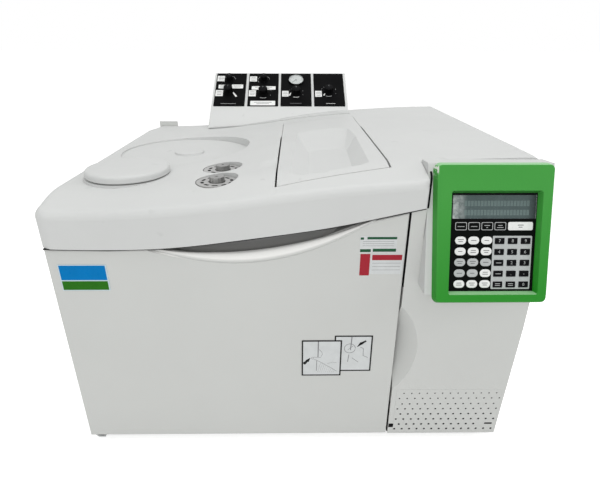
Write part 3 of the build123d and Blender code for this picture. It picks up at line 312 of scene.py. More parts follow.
def door_paint(name, color):
    """Door enamel, with a painted highlight on the scoop's lip and painted shade behind it, grey and
    darkening upwards.
    """
    made = Surface(name, color, 0.45, Specular_IOR_Level=0.4)
    made.soften(0.0008).mottle(4, 0.03)
    across, depth, height = made.axes()
    face, foot = FRONT * MM, (SCOOP_FOOT + BASE) * MM
    here = made.both(made.ramp(height, foot - 0.019, foot - 0.013), made.ramp(across, 0.128, 0.118))
    # painted highlight: the scoop's lip made brighter
    made.tint(made.both(here, made.ramp(depth, face + 0.0001, face + 0.0008)), (0.84, 0.84, 0.82))
    shift = math_of(made.tree, "ADD", across, -SCOOP_MID * MM)
    rise = math_of(made.tree, "MULTIPLY_ADD", made.both(shift, shift), -SCOOP_CURVE / MM, height)
    # painted shade: the hollow behind the lip made grey, and darker still as it rises under the skirt
    pocket_shade = made.both(here, made.ramp(depth, face + 0.0075, face + 0.0115))
    made.tint(pocket_shade, (0.38, 0.38, 0.37))
    made.tint(made.both(pocket_shade, made.ramp(rise, foot + 0.002, foot + 0.021)), (0.20, 0.20, 0.197))
    return made.uneven_gloss(7, 0.06).bump(420, 0.00008, 0.6)


def sheet_metal(name, color, rough=0.35):
    made = Surface(name, color, rough, 1.0)
    made.soften(0.0006).mottle(30, 0.18, 6.0)
    brushed = made.stretch((1.0, 60.0, 60.0))
    return made.uneven_gloss(25, 0.08).bump(40, 0.00004, 0.5, 2.0, brushed)


def rubber(name, color, rough=0.75):
    made = Surface(name, color, rough, Specular_IOR_Level=0.3)
    return made.mottle(40, 0.2).speckle(160, 0.66, 0.72, (0.12, 0.11, 0.1)).bump(500, 0.0001, 0.6)


def black_moulding(name, color, rough=0.42, shine=0.3):
    made = Surface(name, color, rough, Specular_IOR_Level=shine)
    made.soften(0.0004).mottle(50, 0.25).speckle(220, 0.7, 0.78, (0.09, 0.09, 0.09))
    return made.uneven_gloss(30, 0.08).bump(1200, 0.00005, 0.6)


def black_film(name, color):
    """Printed black film: near black, with a faint sheen and fine dust."""
    made = Surface(name, color, 0.55, Specular_IOR_Level=0.03)
    made.mottle(35, 0.3).speckle(520, 0.72, 0.8, (0.03, 0.03, 0.032))
    return made.uneven_gloss(24, 0.1).bump(900, 0.00003, 0.4)


def chipped_green(name, color):
    """Green moulding, deeper at its foot, with a painted highlight where it faces up, painted shade where
    it faces down, and chipped bare at the upper left.
    """
    made = Surface(name, color, 0.4, Specular_IOR_Level=0.3)
    made.soften(0.0009).mottle(8, 0.05).speckle(60, 0.72, 0.78, tuple(c * 0.8 for c in color))
    across, _, height = made.axes()
    made.tint(made.ramp(height, 0.41, 0.29, 0.0, 1.0), (0.013, 0.235, 0.012))
    # painted highlight: paler where the surface faces up
    made.tint(made.ramp(made.facing("Z"), 0.6, 0.8, 0.0, 0.8), (0.33, 0.62, 0.33))
    # painted shade: darker where the surface faces down
    made.tint(made.ramp(made.facing("Z"), -0.6, -0.8, 0.0, 0.7), (0.012, 0.12, 0.010))
    edge = made.both(made.ramp(across, 0.1794, 0.1784), made.ramp(height, 0.428, 0.438))
    made.tint(made.both(edge, made.ramp(made.noise(210, 3.0), 0.5, 0.53)), (0.62, 0.68, 0.60))
    return made.uneven_gloss(12, 0.08).bump(700, 0.00006, 0.5)


def ink(name, color, rough=0.5, shine=0.2):
    """A printed or self-coloured detail, a little uneven and worn."""
    made = Surface(name, color, rough, Specular_IOR_Level=shine)
    made.mottle(80, 0.07).speckle(380, 0.7, 0.76, tuple(c * 0.82 for c in color))
    return made.uneven_gloss(110, 0.08).bump(800, 0.00002, 0.4)


def display_screen(name, color):
    """An unlit display: pale and hazy in patches at its left end, paler towards its top, darker at its
    right.
    """
    made = Surface(name, color, 0.25, Specular_IOR_Level=0.3)
    across, _, height = made.axes()
    made.mottle(45, 0.18)
    made.tint(made.ramp(across, 0.294, 0.304, 0.0, 0.8), (0.012, 0.018, 0.02))
    made.tint(made.ramp(height, 0.412, 0.424, 0.0, 0.35), (0.16, 0.19, 0.23))
    haze = made.both(made.ramp(across, 0.219, 0.2), made.ramp(made.noise(170, 6.0), 0.3, 0.62))
    made.tint(haze, (0.55, 0.58, 0.58))
    return made.uneven_gloss(60, 0.1).bump(500, 0.00003, 0.5)


def make_inks():
    """The finishes of printed and self-coloured details."""
    return {
        "white": ink("print_white", (0.80, 0.81, 0.80)),
        "grey": ink("print_grey", (0.47, 0.49, 0.49)),
        "silver": ink("print_silver", (0.42, 0.43, 0.43)),
        "dark": ink("print_dark", (0.10, 0.105, 0.11)),
        "black": ink("print_black", (0.004, 0.004, 0.005), 0.5, 0.05),
        "grey_line": ink("print_grey_line", (0.20, 0.20, 0.21)),
        "frame": ink("print_frame_black", (0.006, 0.006, 0.006)),
        "paper": ink("label_paper", (0.63, 0.65, 0.655), 0.6),
        "dial": ink("gauge_dial_white", (0.50, 0.51, 0.50)),
        "cell": ink("display_cell", (0.15, 0.205, 0.20), 0.3),
        "screen": display_screen("display_screen", (0.075, 0.108, 0.108)),
        "badge_edge": ink("badge_edge", (0.55, 0.66, 0.70), 0.3),
        "blue": ink("badge_blue", (0.001, 0.185, 0.50), 0.3, 0.05),
        "green": ink("badge_green", (0.024, 0.155, 0.010), 0.3, 0.05),
        "label_green": ink("label_green", (0.008, 0.075, 0.03)),
        "red": ink("label_red", (0.34, 0.014, 0.028)),
    }


def lagging(name, color):
    made = Surface(name, color, 0.95)
    made.mottle(60, 0.25, 8.0).speckle(30, 0.66, 0.74, (0.55, 0.48, 0.38))
    return made.bump(260, 0.0006, 0.8, 8.0)


def clear_glass(name, color):
    made = Surface(name, color, 0.06, Alpha=0.22)
    return made.uneven_gloss(60, 0.03)


def make_materials():
    """One finished material for each of the record's slots, and one more for the injector shields."""
    return {
        "body_paint": powder_paint("body_paint", (0.585, 0.595, 0.58)),
        "cover_moulding": moulded_plastic("cover_moulding", (0.60, 0.61, 0.605)),
        "door_paint": door_paint("door_paint", (0.575, 0.585, 0.57)),
        "green_plastic": chipped_green("green_plastic", (0.046, 0.30, 0.043)),
        "black_panel": black_film("black_panel", (0.003, 0.003, 0.0035)),
        "keypad_film": black_film("keypad_film", (0.0035, 0.0045, 0.004)),
        "knob_plastic": black_moulding("knob_plastic", (0.003, 0.003, 0.0035), 0.5, 0.05),
        "needle_black": black_moulding("needle_black", (0.01, 0.01, 0.01)),
        "clear_glass": clear_glass("clear_glass", (0.9, 0.95, 0.95)),
        "display_dark": black_moulding("display_dark", (0.07, 0.10, 0.10)),
        "machined_steel": sheet_metal("machined_steel", (0.40, 0.40, 0.395), 0.32),
        "shield_plate": powder_paint("shield_plate", (0.39, 0.39, 0.385), 0.35),
        "zinc_steel": sheet_metal("zinc_steel", (0.52, 0.53, 0.53), 0.38),
        "oven_steel": sheet_metal("oven_steel", (0.46, 0.45, 0.43), 0.3),
        "lagging": lagging("lagging", (0.70, 0.67, 0.60)),
        "gasket_rubber": rubber("gasket_rubber", (0.20, 0.05, 0.03), 0.6),
        "foot_rubber": rubber("foot_rubber", (0.02, 0.02, 0.02)),
        "column_coating": black_moulding("column_coating", (0.16, 0.06, 0.015), 0.25),
        "motor_body": black_moulding("motor_body", (0.05, 0.05, 0.055)),
        "valve_aluminium": sheet_metal("valve_aluminium", (0.62, 0.62, 0.63), 0.35),
        "circuit_board": black_moulding("circuit_board", (0.01, 0.09, 0.03), 0.35),
    }


def dress_nodes(materials):
    """Every CAD node takes the finished material of its slot; the injector shields take their own."""
    slots = {row["node"]: row["material_slot"] for row in frame["record"]["subparts"]}
    for name, node in frame["nodes"].items():
        finish = "shield_plate" if name.endswith("injector_shield") else slots[name]
        node.data.materials.clear()
        node.data.materials.append(materials[finish].material)


# ------------------------------------------------------------------ building detail pieces
class Face:
    """A flat face of the model: millimetres across, up and out from it."""

    def __init__(self, foot, up, normal, along=(1, 0, 0)):
        self.foot, self.up, self.normal, self.along = foot, Vector(up), Vector(normal), Vector(along)

    def at(self, across, up, out):
        return self.foot + (self.along * across + self.up * up + self.normal * out) * MM


DOOR = Face(spot(0, 0, 0), (0, 0, 1), (0, -1, 0))
REAR = Face(spot(0, 655, 0), (0, 0, 1), (0, 1, 0))
LEFT_SIDE = Face(spot(-320, 0, 0), (0, 0, 1), (-1, 0, 0), (0, 1, 0))
# the right side panel leans out by 6 mm over the 198 mm above its foot
RIGHT_SIDE = Face(spot(320, 0, 2), (0.0303, 0, 0.99954), (0.99954, 0, -0.0303), (0, 1, 0))
GAS = Face(spot(0, *GAS_FOOT), (0, cos(radians(GAS_TILT)), sin(radians(GAS_TILT))),
           (0, -sin(radians(GAS_TILT)), cos(radians(GAS_TILT))))
CONSOLE = Face(spot(0, *CONSOLE_FOOT), (0, sin(radians(CONSOLE_TILT)), cos(radians(CONSOLE_TILT))),
               (0, -cos(radians(CONSOLE_TILT)), sin(radians(CONSOLE_TILT))))


def block(left, right, low, high, radius=0.0, steps=5):
    """Corner points of a rectangle, its corners rounded."""
    if not radius:
        return [(left, low), (right, low), (right, high), (left, high)]
    corners = [(right - radius, low + radius, -90), (right - radius, high - radius, 0),
               (left + radius, high - radius, 90), (left + radius, low + radius, 180)]
    return [(x + radius * cos(angle), z + radius * sin(angle)) for x, z, start in corners
            for angle in (radians(start + 90 * i / steps) for i in range(steps + 1))]


def around(x, up, wide, high, radius=0.0):
    """The same, given by its middle and its size."""
    return block(x - wide / 2, x + wide / 2, up - high / 2, up + high / 2, radius)


def arc(x, up, radius, start, end, steps=12):
    """Points along an arc, its angles in degrees from the right, anticlockwise."""
    angles = [radians(start + (end - start) * i / steps) for i in range(steps + 1)]
    return [(x + radius * cos(a), up + radius * sin(a)) for a in angles]


def shrunk(outline, amount):
    """The outline drawn in towards its middle by about this much."""
    xs, ups = [p[0] for p in outline], [p[1] for p in outline]
    mid_x, mid_up = (min(xs) + max(xs)) / 2, (min(ups) + max(ups)) / 2
    by_x = 1 - 2 * amount / (max(xs) - min(xs))
    by_up = 1 - 2 * amount / (max(ups) - min(ups))
    return [(mid_x + (x - mid_x) * by_x, mid_up + (up - mid_up) * by_up) for x, up in outline]


class Piece:
    """Shapes on one face and in one finish, gathered into one object."""

    def __init__(self, face):
        self.face = face
        self.mesh = bmesh.new()

    def ring(self, outline, out):
        """Vertices along an outline, all at one height."""
        return [self.mesh.verts.new(self.face.at(x, up, out)) for x, up in outline]

    def bridge(self, first, second):
        """A closed band of faces between two rings."""
        count = len(first)
        for i in range(count):
            j = (i + 1) % count
            self.mesh.faces.new((first[i], first[j], second[j], second[i]))

    def skin(self, rings):
        """Bands of faces from each ring to the next."""
        for first, second in zip(rings, rings[1:]):
            self.bridge(first, second)

    def plate(self, outline, low, high, edge=0.0):
        """A plate between two heights, its upper edge rounded over."""
        rings = [self.ring(outline, low), self.ring(outline, high - edge)]
        for share in (0.3, 0.65, 1.0) if edge else ():
            rings.append(self.ring(shrunk(outline, edge * share * share), high - edge * (1 - share) ** 2))
        self.skin(rings)
        self.mesh.faces.new(rings[-1])

    def border(self, outline, width, low, high):
        """A flat frame of this width along the inside of an outline."""
        inner = shrunk(outline, width)
        places = ((outline, low), (outline, high), (inner, high), (inner, low))
        self.skin([self.ring(*place) for place in places])

    def stroke(self, points, width, low, high):
        """A ribbon along a line of points; the width may differ at its two ends."""
        first_width, last_width = width if isinstance(width, tuple) else (width, width)
        left, right = [], []
        for i, (x, up) in enumerate(points):
            before, after = points[max(i - 1, 0)], points[min(i + 1, len(points) - 1)]
            run, rise = after[0] - before[0], after[1] - before[1]
            length = (run * run + rise * rise) ** 0.5
            half = (first_width + (last_width - first_width) * i / (len(points) - 1)) / 2
            left.append((x - rise / length * half, up + run / length * half))
            right.append((x + rise / length * half, up - run / length * half))
        outline = right + left[::-1]
        foot, top = self.ring(outline, low), self.ring(outline, high)
        self.bridge(foot, top)
        last = len(outline) - 1
        for i in range(len(points) - 1):
            self.mesh.faces.new((top[i], top[i + 1], top[last - 1 - i], top[last - i]))

    def dashes(self, x, up, widths, pitch, high, low, top):
        """Short bars in rows, where the real part carries words."""
        for row, wide in enumerate(widths):
            middle = up + ((len(widths) - 1) / 2 - row) * pitch
            self.plate(around(x, middle, wide, high), low, top)

    def glyph(self, text, x, up, size, low, high):
        """A plain number or sign, its middle at x and up."""
        curve = bpy.data.curves.new("glyph", "FONT")
        curve.body, curve.size = text, size
        curve.align_x, curve.align_y = "CENTER", "CENTER"
        curve.resolution_u = 3
        curve.extrude = (high - low) / 2
        stand = bpy.data.objects.new("glyph", curve)
        shape = bpy.data.meshes.new_from_object(stand)
        for vertex in shape.vertices:
            flat = vertex.co
            vertex.co = self.face.at(x + flat.x, up + flat.y, (low + high) / 2 + flat.z)
        self.mesh.from_mesh(shape)
        bpy.data.objects.remove(stand)
        bpy.data.curves.remove(curve)
        bpy.data.meshes.remove(shape)

    def turned(self, x, up, profile, steps=24):
        """A turned form standing on the face, from pairs of radius and height."""
        last = 360 - 360 / steps
        rings = [self.ring(arc(x, up, radius, 0, last, steps - 1), out) for radius, out in profile]
        self.skin(rings)
        self.mesh.faces.new(rings[-1])

    def finish(self, name, body, surface, slot=None, smooth=False):
        """Make the object, dress it and let it ride on its body."""
        bmesh.ops.recalc_face_normals(self.mesh, faces=self.mesh.faces)
        data = bpy.data.meshes.new(name)
        self.mesh.to_mesh(data)
        self.mesh.free()
        for face in data.polygons:
            face.use_smooth = smooth
        data.materials.append(surface.material)
        made = bpy.data.objects.new(name, data)
        bpy.context.scene.collection.objects.link(made)
        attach(made, body)
        return made


# ------------------------------------------------------------------ the keypad and its display
KEY_TOP = -7.5            # the keypad film's face, back from the front of the bezel
OVALS_AT, DIGITS_AT, FUNCTIONS_AT, START_AT = (228.1, 50.0), (277.6, 49.2), (236.2, 95.9), (286.4, 95.9)
KEY_PITCH = (16.5, 13.95)


def grid(middle, columns, rows):
    """Column, row and place of each key, from the upper left."""
    for row in range(rows):
        for column in range(columns):
            yield (column, row, middle[0] + (column - (columns - 1) / 2) * KEY_PITCH[0],
                   middle[1] + ((rows - 1) / 2 - row) * KEY_PITCH[1])


def make_keys(inks):
    """Oval keys with two lines of bars, outlined function keys, one long key and the digit keys."""
    foot, cap_top, cap_edge = KEY_TOP - 0.2, KEY_TOP + 0.28, 0.25
    on_cap = (KEY_TOP + 0.2, KEY_TOP + 0.31)
    on_digit = (KEY_TOP + 0.12, KEY_TOP + 0.26)
    white, grey, dark, light = (Piece(CONSOLE) for _ in range(4))
    words = (7.6, 5.4), (6.8,), (5.6,), (6.2, 7.0), (7.4, 5.0)
    for column, row, x, up in grid(OVALS_AT, 3, 5):
        pale = row in (0, 1, 4) or (row == 3 and column == 2)
        (white if pale else grey).plate(around(x, up, 14.0, 9.9, 4.9), foot, cap_top, cap_edge)
        dark.dashes(x, up, words[(column + row * 2) % 5], 2.5, 0.8, *on_cap)
    for column, row, x, up in grid(FUNCTIONS_AT, 4, 1):
        light.border(around(x, up, 14.6, 10.0, 1.6), 0.75, KEY_TOP - 0.1, KEY_TOP + 0.08)
        light.dashes(x, up - 0.4, ((8.6,), (8.0,), (7.2, 2.2), (5.6, 8.0))[column], 2.6, 0.75,
                     KEY_TOP - 0.1, KEY_TOP + 0.05)
    white.plate(around(*START_AT, 31.2, 10.5, 2.0), foot, cap_top, cap_edge)
    dark.dashes(*START_AT, (7.4, 4.8), 2.6, 0.9, *on_cap)
    pad = Piece(CONSOLE)
    pad.plate(block(252.5, 302.2, 15.4, 83.6, 1.2), -8.1, -7.82, 0.1)
    caps = Piece(CONSOLE)
    signs = ("7", "8", "9", "4", "5", "6", "", "2", "3", "", ".", "-", "", "", "0")
    for column, row, x, up in grid(DIGITS_AT, 3, 5):
        caps.plate(around(x, up, 12.2, 7.8, 0.8), foot, KEY_TOP + 0.22, 0.2)
        sign = signs[column + row * 3]
        if sign:
            light.glyph(sign, x, up, 5.6, *on_digit)
        else:
            light.dashes(x, up, (6.8,) if column == 0 and row < 4 else (6.4, 6.4), 2.3, 0.8, *on_digit)
    white.finish("key_caps_white", "chassis", inks["white"], "keypad_film", smooth=True)
    grey.finish("key_caps_grey", "chassis", inks["grey"], "keypad_film", smooth=True)
    pad.finish("digit_key_field", "chassis", inks["grey"], "keypad_film")
    caps.finish("digit_key_caps", "chassis", inks["black"], "keypad_film", smooth=True)
    dark.finish("key_marks_dark", "chassis", inks["dark"])
    light.finish("key_marks_light", "chassis", inks["silver"])


def make_display(inks):
    """The screen with two rows of twenty unlit characters, and its black rim."""
    screen, cells, rim = Piece(CONSOLE), Piece(CONSOLE), Piece(CONSOLE)
    screen.plate(block(200.4, 304.9, 105.3, 134.6), -8.45, -8.3, 0.05)
    for low, high in ((109.5, 116.3), (120.9, 127.7)):
        for place in range(20):
            left = 215.0 + place * 4.12
            for bar in range(5):
                x = left + bar * 0.66
                cells.plate(block(x, x + 0.5, low, high), -8.32, -8.27)
    rim.border(block(199.2, 306.6, 104.0, 138.6), 1.2, -8.05, -7.9)
    rim.plate(block(199.2, 306.6, 134.7, 140.0), -8.45, -8.2)
    screen.finish("display_screen", "chassis", inks["screen"], "display_dark")
    cells.finish("display_characters", "chassis", inks["cell"], "display_dark")
    rim.finish("display_rim", "chassis", inks["black"], "keypad_film")


# ------------------------------------------------------------------ the gas-control panel
KNOBS = {"split_flow": (-153.5, 163.0, 8.5), "septum_purge": (-153.5, 122.0, 10.5),
         "carrier_flow": (-71.0, 163.0, 8.5), "carrier_pressure": (-71.0, 117.0, 10.5),
         "hydrogen": (7.0, 117.5, 10.5), "air": (84.0, 122.0, 10.5)}
GAUGE_AT = (7.0, 161.0)
FACE_TOP = 1.5            # the fascias' outer face above the housing


def make_fascia_print(inks):
    """Blank tags, scales and pointers round the knobs, and bars where there are words."""
    low, high = FACE_TOP - 0.05, FACE_TOP + 0.1
    on_tag = (high - 0.02, high + 0.05)
    tags, marks, lines, faint = (Piece(GAS) for _ in range(4))
    squares = [(-183.2, -165.8, 158.0, 177.4), (-183.6, -165.9, 105.2, 126.1),
               (-104.8, -87.7, 157.4, 175.9), (-105.1, -88.3, 104.6, 125.6),
               (-26.3, -11.0, 104.0, 123.7), (52.0, 67.7, 103.3, 123.9)]
    for left, right, bottom, top in squares:
        tags.plate(block(left, right, bottom, top, 0.8), low, high)
        middle = (left + right) / 2
        faint.dashes(middle, (bottom + top) / 2, (10.5, 12.0, 10.5), 5.2, 1.5, *on_tag)
    for left, right, bottom, top in ((-178.4, -162.4, 132.2, 145.0), (-146.9, -119.7, 132.3, 145.9),
                                     (-99.0, -42.0, 128.0, 140.0), (-99.9, -42.0, 73.8, 88.9)):
        tags.plate(block(left, right, bottom, top, 1.4), low, high)
        middle, wide = (left + right) / 2, right - left
        faint.dashes(middle, (bottom + top) / 2, (wide * 0.72, wide * 0.5), 4.6, 1.4, *on_tag)
    for name in ("split_flow", "carrier_flow"):
        x, up, radius = KNOBS[name]
        for start, end in ((12, 62), (118, 172), (188, 214)):
            lines.stroke(arc(x, up, radius + 5.9, start, end), (0.5, 0.8), low, high)
    marks.stroke([(-142.6, 118.4), (-133.6, 103.6)], (2.6, 4.4), low, high)
    gaps = (("carrier_pressure", 7.6, lines), ("hydrogen", 5.4, marks), ("air", 6.6, lines))
    for name, gap, piece in gaps:
        x, up, radius = KNOBS[name]
        piece.stroke(arc(x, up, radius + gap, 246, 294), 1.5, low, high)
        for angle in (57, 125, 150, 22, 335, 205):
            lines.stroke(arc(x, up, radius + gap + 1.4, angle - 3, angle + 3, 3), 0.7, low, high)
    marks.stroke([(-9.4, 107.6), (-5.2, 117.2)], (4.6, 1.6), low, high)
    marks.stroke([(72.2, 107.8), (76.0, 117.0)], (3.4, 1.4), low, high)
    for left, right, up, piece in ((-168.5, -133.0, 79.4, lines), (-7.5, 19.6, 80.6, faint),
                                   (77.0, 98.4, 80.2, marks)):
        piece.stroke([(left, up), (right, up)], 0.9, low, high)
    tags.finish("fascia_tags", "chassis", inks["white"])
    marks.finish("fascia_pointers", "chassis", inks["white"])
    lines.finish("fascia_scales", "chassis", inks["silver"])
    faint.finish("fascia_fine_print", "chassis", inks["grey_line"])


def make_gauge(inks):
    """The gauge's dial, with its divisions, plain numbers and an arc around them."""
    x, up = GAUGE_AT
    dial, scale = Piece(GAS), Piece(GAS)
    dial.turned(x, up, [(17.2, 2.45), (17.2, 2.75), (16.9, 2.82)], 48)
    for step in range(31):
        angle = 225 - step * 9
        reach = 3.0 if step % 5 == 0 else 1.7
        ends = [arc(x, up, radius, angle, angle + 1, 1)[0] for radius in (15.6 - reach, 15.6)]
        scale.stroke(ends, 0.45 if step % 5 == 0 else 0.28, 2.8, 2.87)
    for place in range(7):
        number_x, number_up = arc(x, up, 10.2, 225 - place * 45, 226 - place * 45, 1)[0]
        scale.glyph(str(place), number_x, number_up, 3.2, 2.8, 2.87)
    scale.stroke(arc(x, up, 15.7, -45, 225, 60), 0.25, 2.8, 2.87)
    dial.finish("gauge_dial", "chassis", inks["dial"])
    scale.finish("gauge_scale", "chassis", inks["dark"])


def make_knob_caps(inks):
    """A domed cap and a fine index line on each knob, which turn with it."""
    for name, (x, up, radius) in KNOBS.items():
        cap, index = Piece(GAS), Piece(GAS)
        dome = [(radius - 3.2, 14.9), (radius - 3.3, 15.25), (radius - 4.0, 15.6), (1.6, 15.8)]
        cap.turned(x, up, dome, 28)
        index.stroke([(x, up + radius - 4.4), (x, up + 1.8)], 0.5, 15.5, 15.86)
        cap.finish(f"{name}_cap", f"{name}_dial", inks["black"], "knob_plastic", smooth=True)
        index.finish(f"{name}_index", f"{name}_dial", inks["silver"])


# ------------------------------------------------------------------ the door's badge, plates and labels
def make_badge(inks):
    """A blank badge in two colours."""
    low, high = -0.05, 0.9
    border, sky, field = Piece(DOOR), Piece(DOOR), Piece(DOOR)
    border.plate(block(-307.2, -243.6, 264.8, 303.8, 1.2), low, high, 0.5)
    sky.plate(block(-305.6, -245.2, 281.0, 302.6, 0.6), high - 0.1, high + 0.12, 0.08)
    field.plate(block(-305.6, -245.2, 266.2, 279.4, 0.6), high - 0.1, high + 0.12, 0.08)
    border.finish("badge_border", "oven_door", inks["badge_edge"])
    sky.finish("badge_upper_field", "oven_door", inks["blue"])
    field.finish("badge_lower_field", "oven_door", inks["green"])


def make_picture_plates(inks):
    """Two overlapping plates with plain line figures in black frames."""
    frames, papers, lines, solid = (Piece(DOOR) for _ in range(4))
    for edges, out in (((59.4, 114.0, 126.6, 189.6), 0.0), ((12.6, 70.2, 118.6, 181.8), 0.3)):
        outline = block(*edges, 0.6)
        papers.plate(shrunk(outline, 0.6), out - 0.05, out + 0.26)
        frames.border(outline, 2.1, out - 0.05, out + 0.32)
    back, front = (0.22, 0.34), (0.5, 0.62)     # heights of the figures on each plate
    lines.stroke([(36.4, 180), (36.2, 152.6)], (1.7, 1.4), *front)
    lines.stroke([(34.6, 146), (34.2, 127.6)], 0.8, *front)
    lines.stroke([(30.6, 148.6), (38, 144.6), (58, 131.4), (64, 126.6)], 0.5, *front)
    lines.stroke([(37.6, 166), (41.6, 161.4), (42.4, 157.4), (40.8, 153.4)], 0.5, *front)
    lines.stroke([(30, 152.4), (40.4, 151.8)], 0.5, *front)
    lines.stroke(arc(28.4, 150.6, 1.7, 0, 350, 14), 0.45, *front)
    for step in range(9):
        start = 40.6 + step * 2.6
        lines.stroke([(start, 143.0 - step * 1.7), (start - 4.6 + step * 0.3, 124.6)], 0.16, *front)
    lines.stroke([(50, 140.4), (57, 143.2), (63.6, 142.2)], 0.3, *front)
    solid.stroke([(15.6, 140.2), (21.2, 146.4)], (4.8, 3.2), *front)
    solid.stroke([(20.4, 145.2), (25.0, 150.8)], (5.6, 0.6), *front)
    lines.stroke([(84.0, 187.2), (82.8, 164.4)], (1.5, 1.0), *back)
    lines.stroke(arc(81.8, 167.4, 7.9, 0, 348, 28), 0.7, *back)
    lines.stroke([(80.9, 156.6), (79.6, 143.4)], 0.9, *back)
    lines.stroke([(85.6, 150.8), (95.2, 142.6)], 0.6, *back)
    lines.stroke([(96.6, 169.6), (101.4, 167.2), (101.6, 154.4), (108.4, 151.2)], 0.7, *back)
    lines.stroke([(78.6, 164.6), (86.4, 171.8)], 0.5, *back)
    solid.stroke([(104.6, 180.4), (97.2, 175.4)], (2.4, 4.4), *back)
    solid.stroke([(98.2, 176.6), (92.2, 170.0)], (4.8, 0.6), *back)
    papers.finish("plate_papers", "oven_door", inks["paper"])
    frames.finish("plate_frames", "oven_door", inks["frame"])
    lines.finish("plate_line_figures", "oven_door", inks["grey_line"])
    solid.finish("plate_arrows", "oven_door", inks["frame"])


def make_labels(inks):
    """Blank service labels: a form with two green bars, a red tab and a strip under a red band."""
    paper, bars, red, lines = (Piece(DOOR) for _ in range(4))
    paper.plate(block(87.0, 134.6, 320.0, 343.4, 0.5), -0.05, 0.14)
    paper.plate(block(101.8, 144.4, 288.4, 317.8, 0.5), -0.05, 0.14)
    bars.plate(block(87.4, 91.6, 338.4, 341.6), 0.1, 0.2)
    bars.plate(block(96.0, 134.2, 338.8, 342.2), 0.1, 0.2)
    bars.plate(block(87.4, 101.4, 320.8, 325.0), 0.1, 0.2)
    bars.plate(block(104.0, 134.2, 321.2, 325.6), 0.1, 0.2)
    red.plate(block(88.4, 101.2, 286.4, 318.0, 0.5), -0.05, 0.2)
    red.plate(block(104.0, 143.2, 309.0, 316.8), 0.1, 0.2)
    for up in (335.8, 332.8, 329.8):
        lines.stroke([(90.4, up), (131.0, up)], 0.4, 0.1, 0.18)
    for up in (304.6, 299.6, 294.6):
        lines.stroke([(104.6, up), (142.0, up)], 0.4, 0.1, 0.18)
    paper.finish("label_papers", "oven_door", inks["paper"])
    bars.finish("label_green_bars", "oven_door", inks["label_green"])
    red.finish("label_red_fields", "oven_door", inks["red"])
    lines.finish("label_ruled_lines", "oven_door", inks["grey_line"])


# ------------------------------------------------------------------ painted shade in seams, slots and holes; the scoop's lip, a bead and screws
LEVEL = Face(spot(0, 0, 0), (0, 1, 0), (0, 0, 1))
INJECTORS = (-103.5, 128.0), (-102.5, 66.0)
SLOT_RADIUS, SLOT_FIRST, SLOT_ANGLE = 20, 18, 36    # the slots' places round each injector shield
COVER_CREST = [(-188, 393.8), (-109, 399), (31, 417.6), (124, 426)]
SKIRT = [(-318, 327.9), (-236, 326), (-153, 329), (-55, 341), (51, 357), (146, 377.7), (166, 382.2)]
LIP_FIRST, LIP_STEP, LIP_STATIONS = -178, 5.8, 50   # where the scoop's lip is drawn, from left to right
LIP_SHARE, DEEPEST_GAP = 0.42, 31                   # its share of the gap under the skirt; the widest gap
# rise along the lip and how far it stands out, in the middle of the scoop
LIP_PROFILE = ((0.0, 0.1), (0.2, -0.15), (0.4, -0.7), (0.6, -1.6), (0.8, -3.0), (1.0, -5.5))

# the vent holes' pitch, and the depths of the black sheet inside them that paints their shade
HOLE_PITCH, HOLE_SHADE_DEPTH = 11.8, (-2.9, -0.25)
# height, first hole, radius and count of each row of vent holes beside the door
VENT_ROWS = [(82.6, 168.5, 1.2, 13), (72.6, 162.5, 1.3, 14), (61.6, 167.5, 1.4, 13), (51.6, 161.2, 1.5, 14),
             (41.1, 166.8, 1.7, 13), (30.6, 160.6, 1.8, 14), (20.1, 166.2, 1.9, 11), (10.1, 160.0, 1.9, 14)]


def make_skirt_seal(surface):
    """A black strip let in along the lower edge of the cover's skirt: painted shadow of the seam above the
    door.
    """
    shadow_strip = Piece(DOOR)
    shadow_strip.stroke([(x, z - 0.75) for x, z in SKIRT], 1.7, 0.6, 3.6)
    shadow_strip.finish("skirt_shadow_strip", "chassis", surface, "gasket_rubber")


def make_edge_seals(surface):
    """Black strips on the front panel's flange: painted shadow in the gap beside the door."""
    shadow_strips = Piece(DOOR)
    for bottom, top, front in ((2, 62, -3.0), (62, 268, -11.0), (268, 374, -0.4)):
        shadow_strips.plate(block(148.5, 149.6, bottom, top), -20, front, 0.2)
    shadow_strips.finish("door_edge_shadow_strips", "chassis", surface, "gasket_rubber")


def make_cover_end_seal(surface):
    """A black strip in the seam between the cover's right end and the console, bent as the rim is: painted
    shadow in the seam.
    """
    seam = Piece(Face(spot(167.6, 0, 0), (0, 0, 1), (1, 0, 0), (0, 1, 0)))
    seam.stroke([(-3.9, 382.4), (-3.9, 416.5)] + arc(8, 416.5, 11.9, 172, 118, 5), 1.2, -1.2, 1.2)
    seam.finish("cover_end_shadow_strip", "chassis", surface, "gasket_rubber")


def make_shield_underlays(surface):
    """Black rings under the injector shields, with a raised part in each slot: painted shade that shows
    black in the slots.
    """
    rings = Piece(LEVEL)
    for x, y in INJECTORS:
        rings.border(arc(x, y, 27.4, 0, 352.5, 47), 15.6, 391.6, 392.8)
        for angle in range(SLOT_FIRST, SLOT_FIRST + 360, SLOT_ANGLE):
            rings.stroke(arc(x, y, SLOT_RADIUS, angle - 10.5, angle + 10.5, 4), 4.1, 392.6, 396.0)
    rings.finish("shield_slot_shade", "chassis", surface, "gasket_rubber")


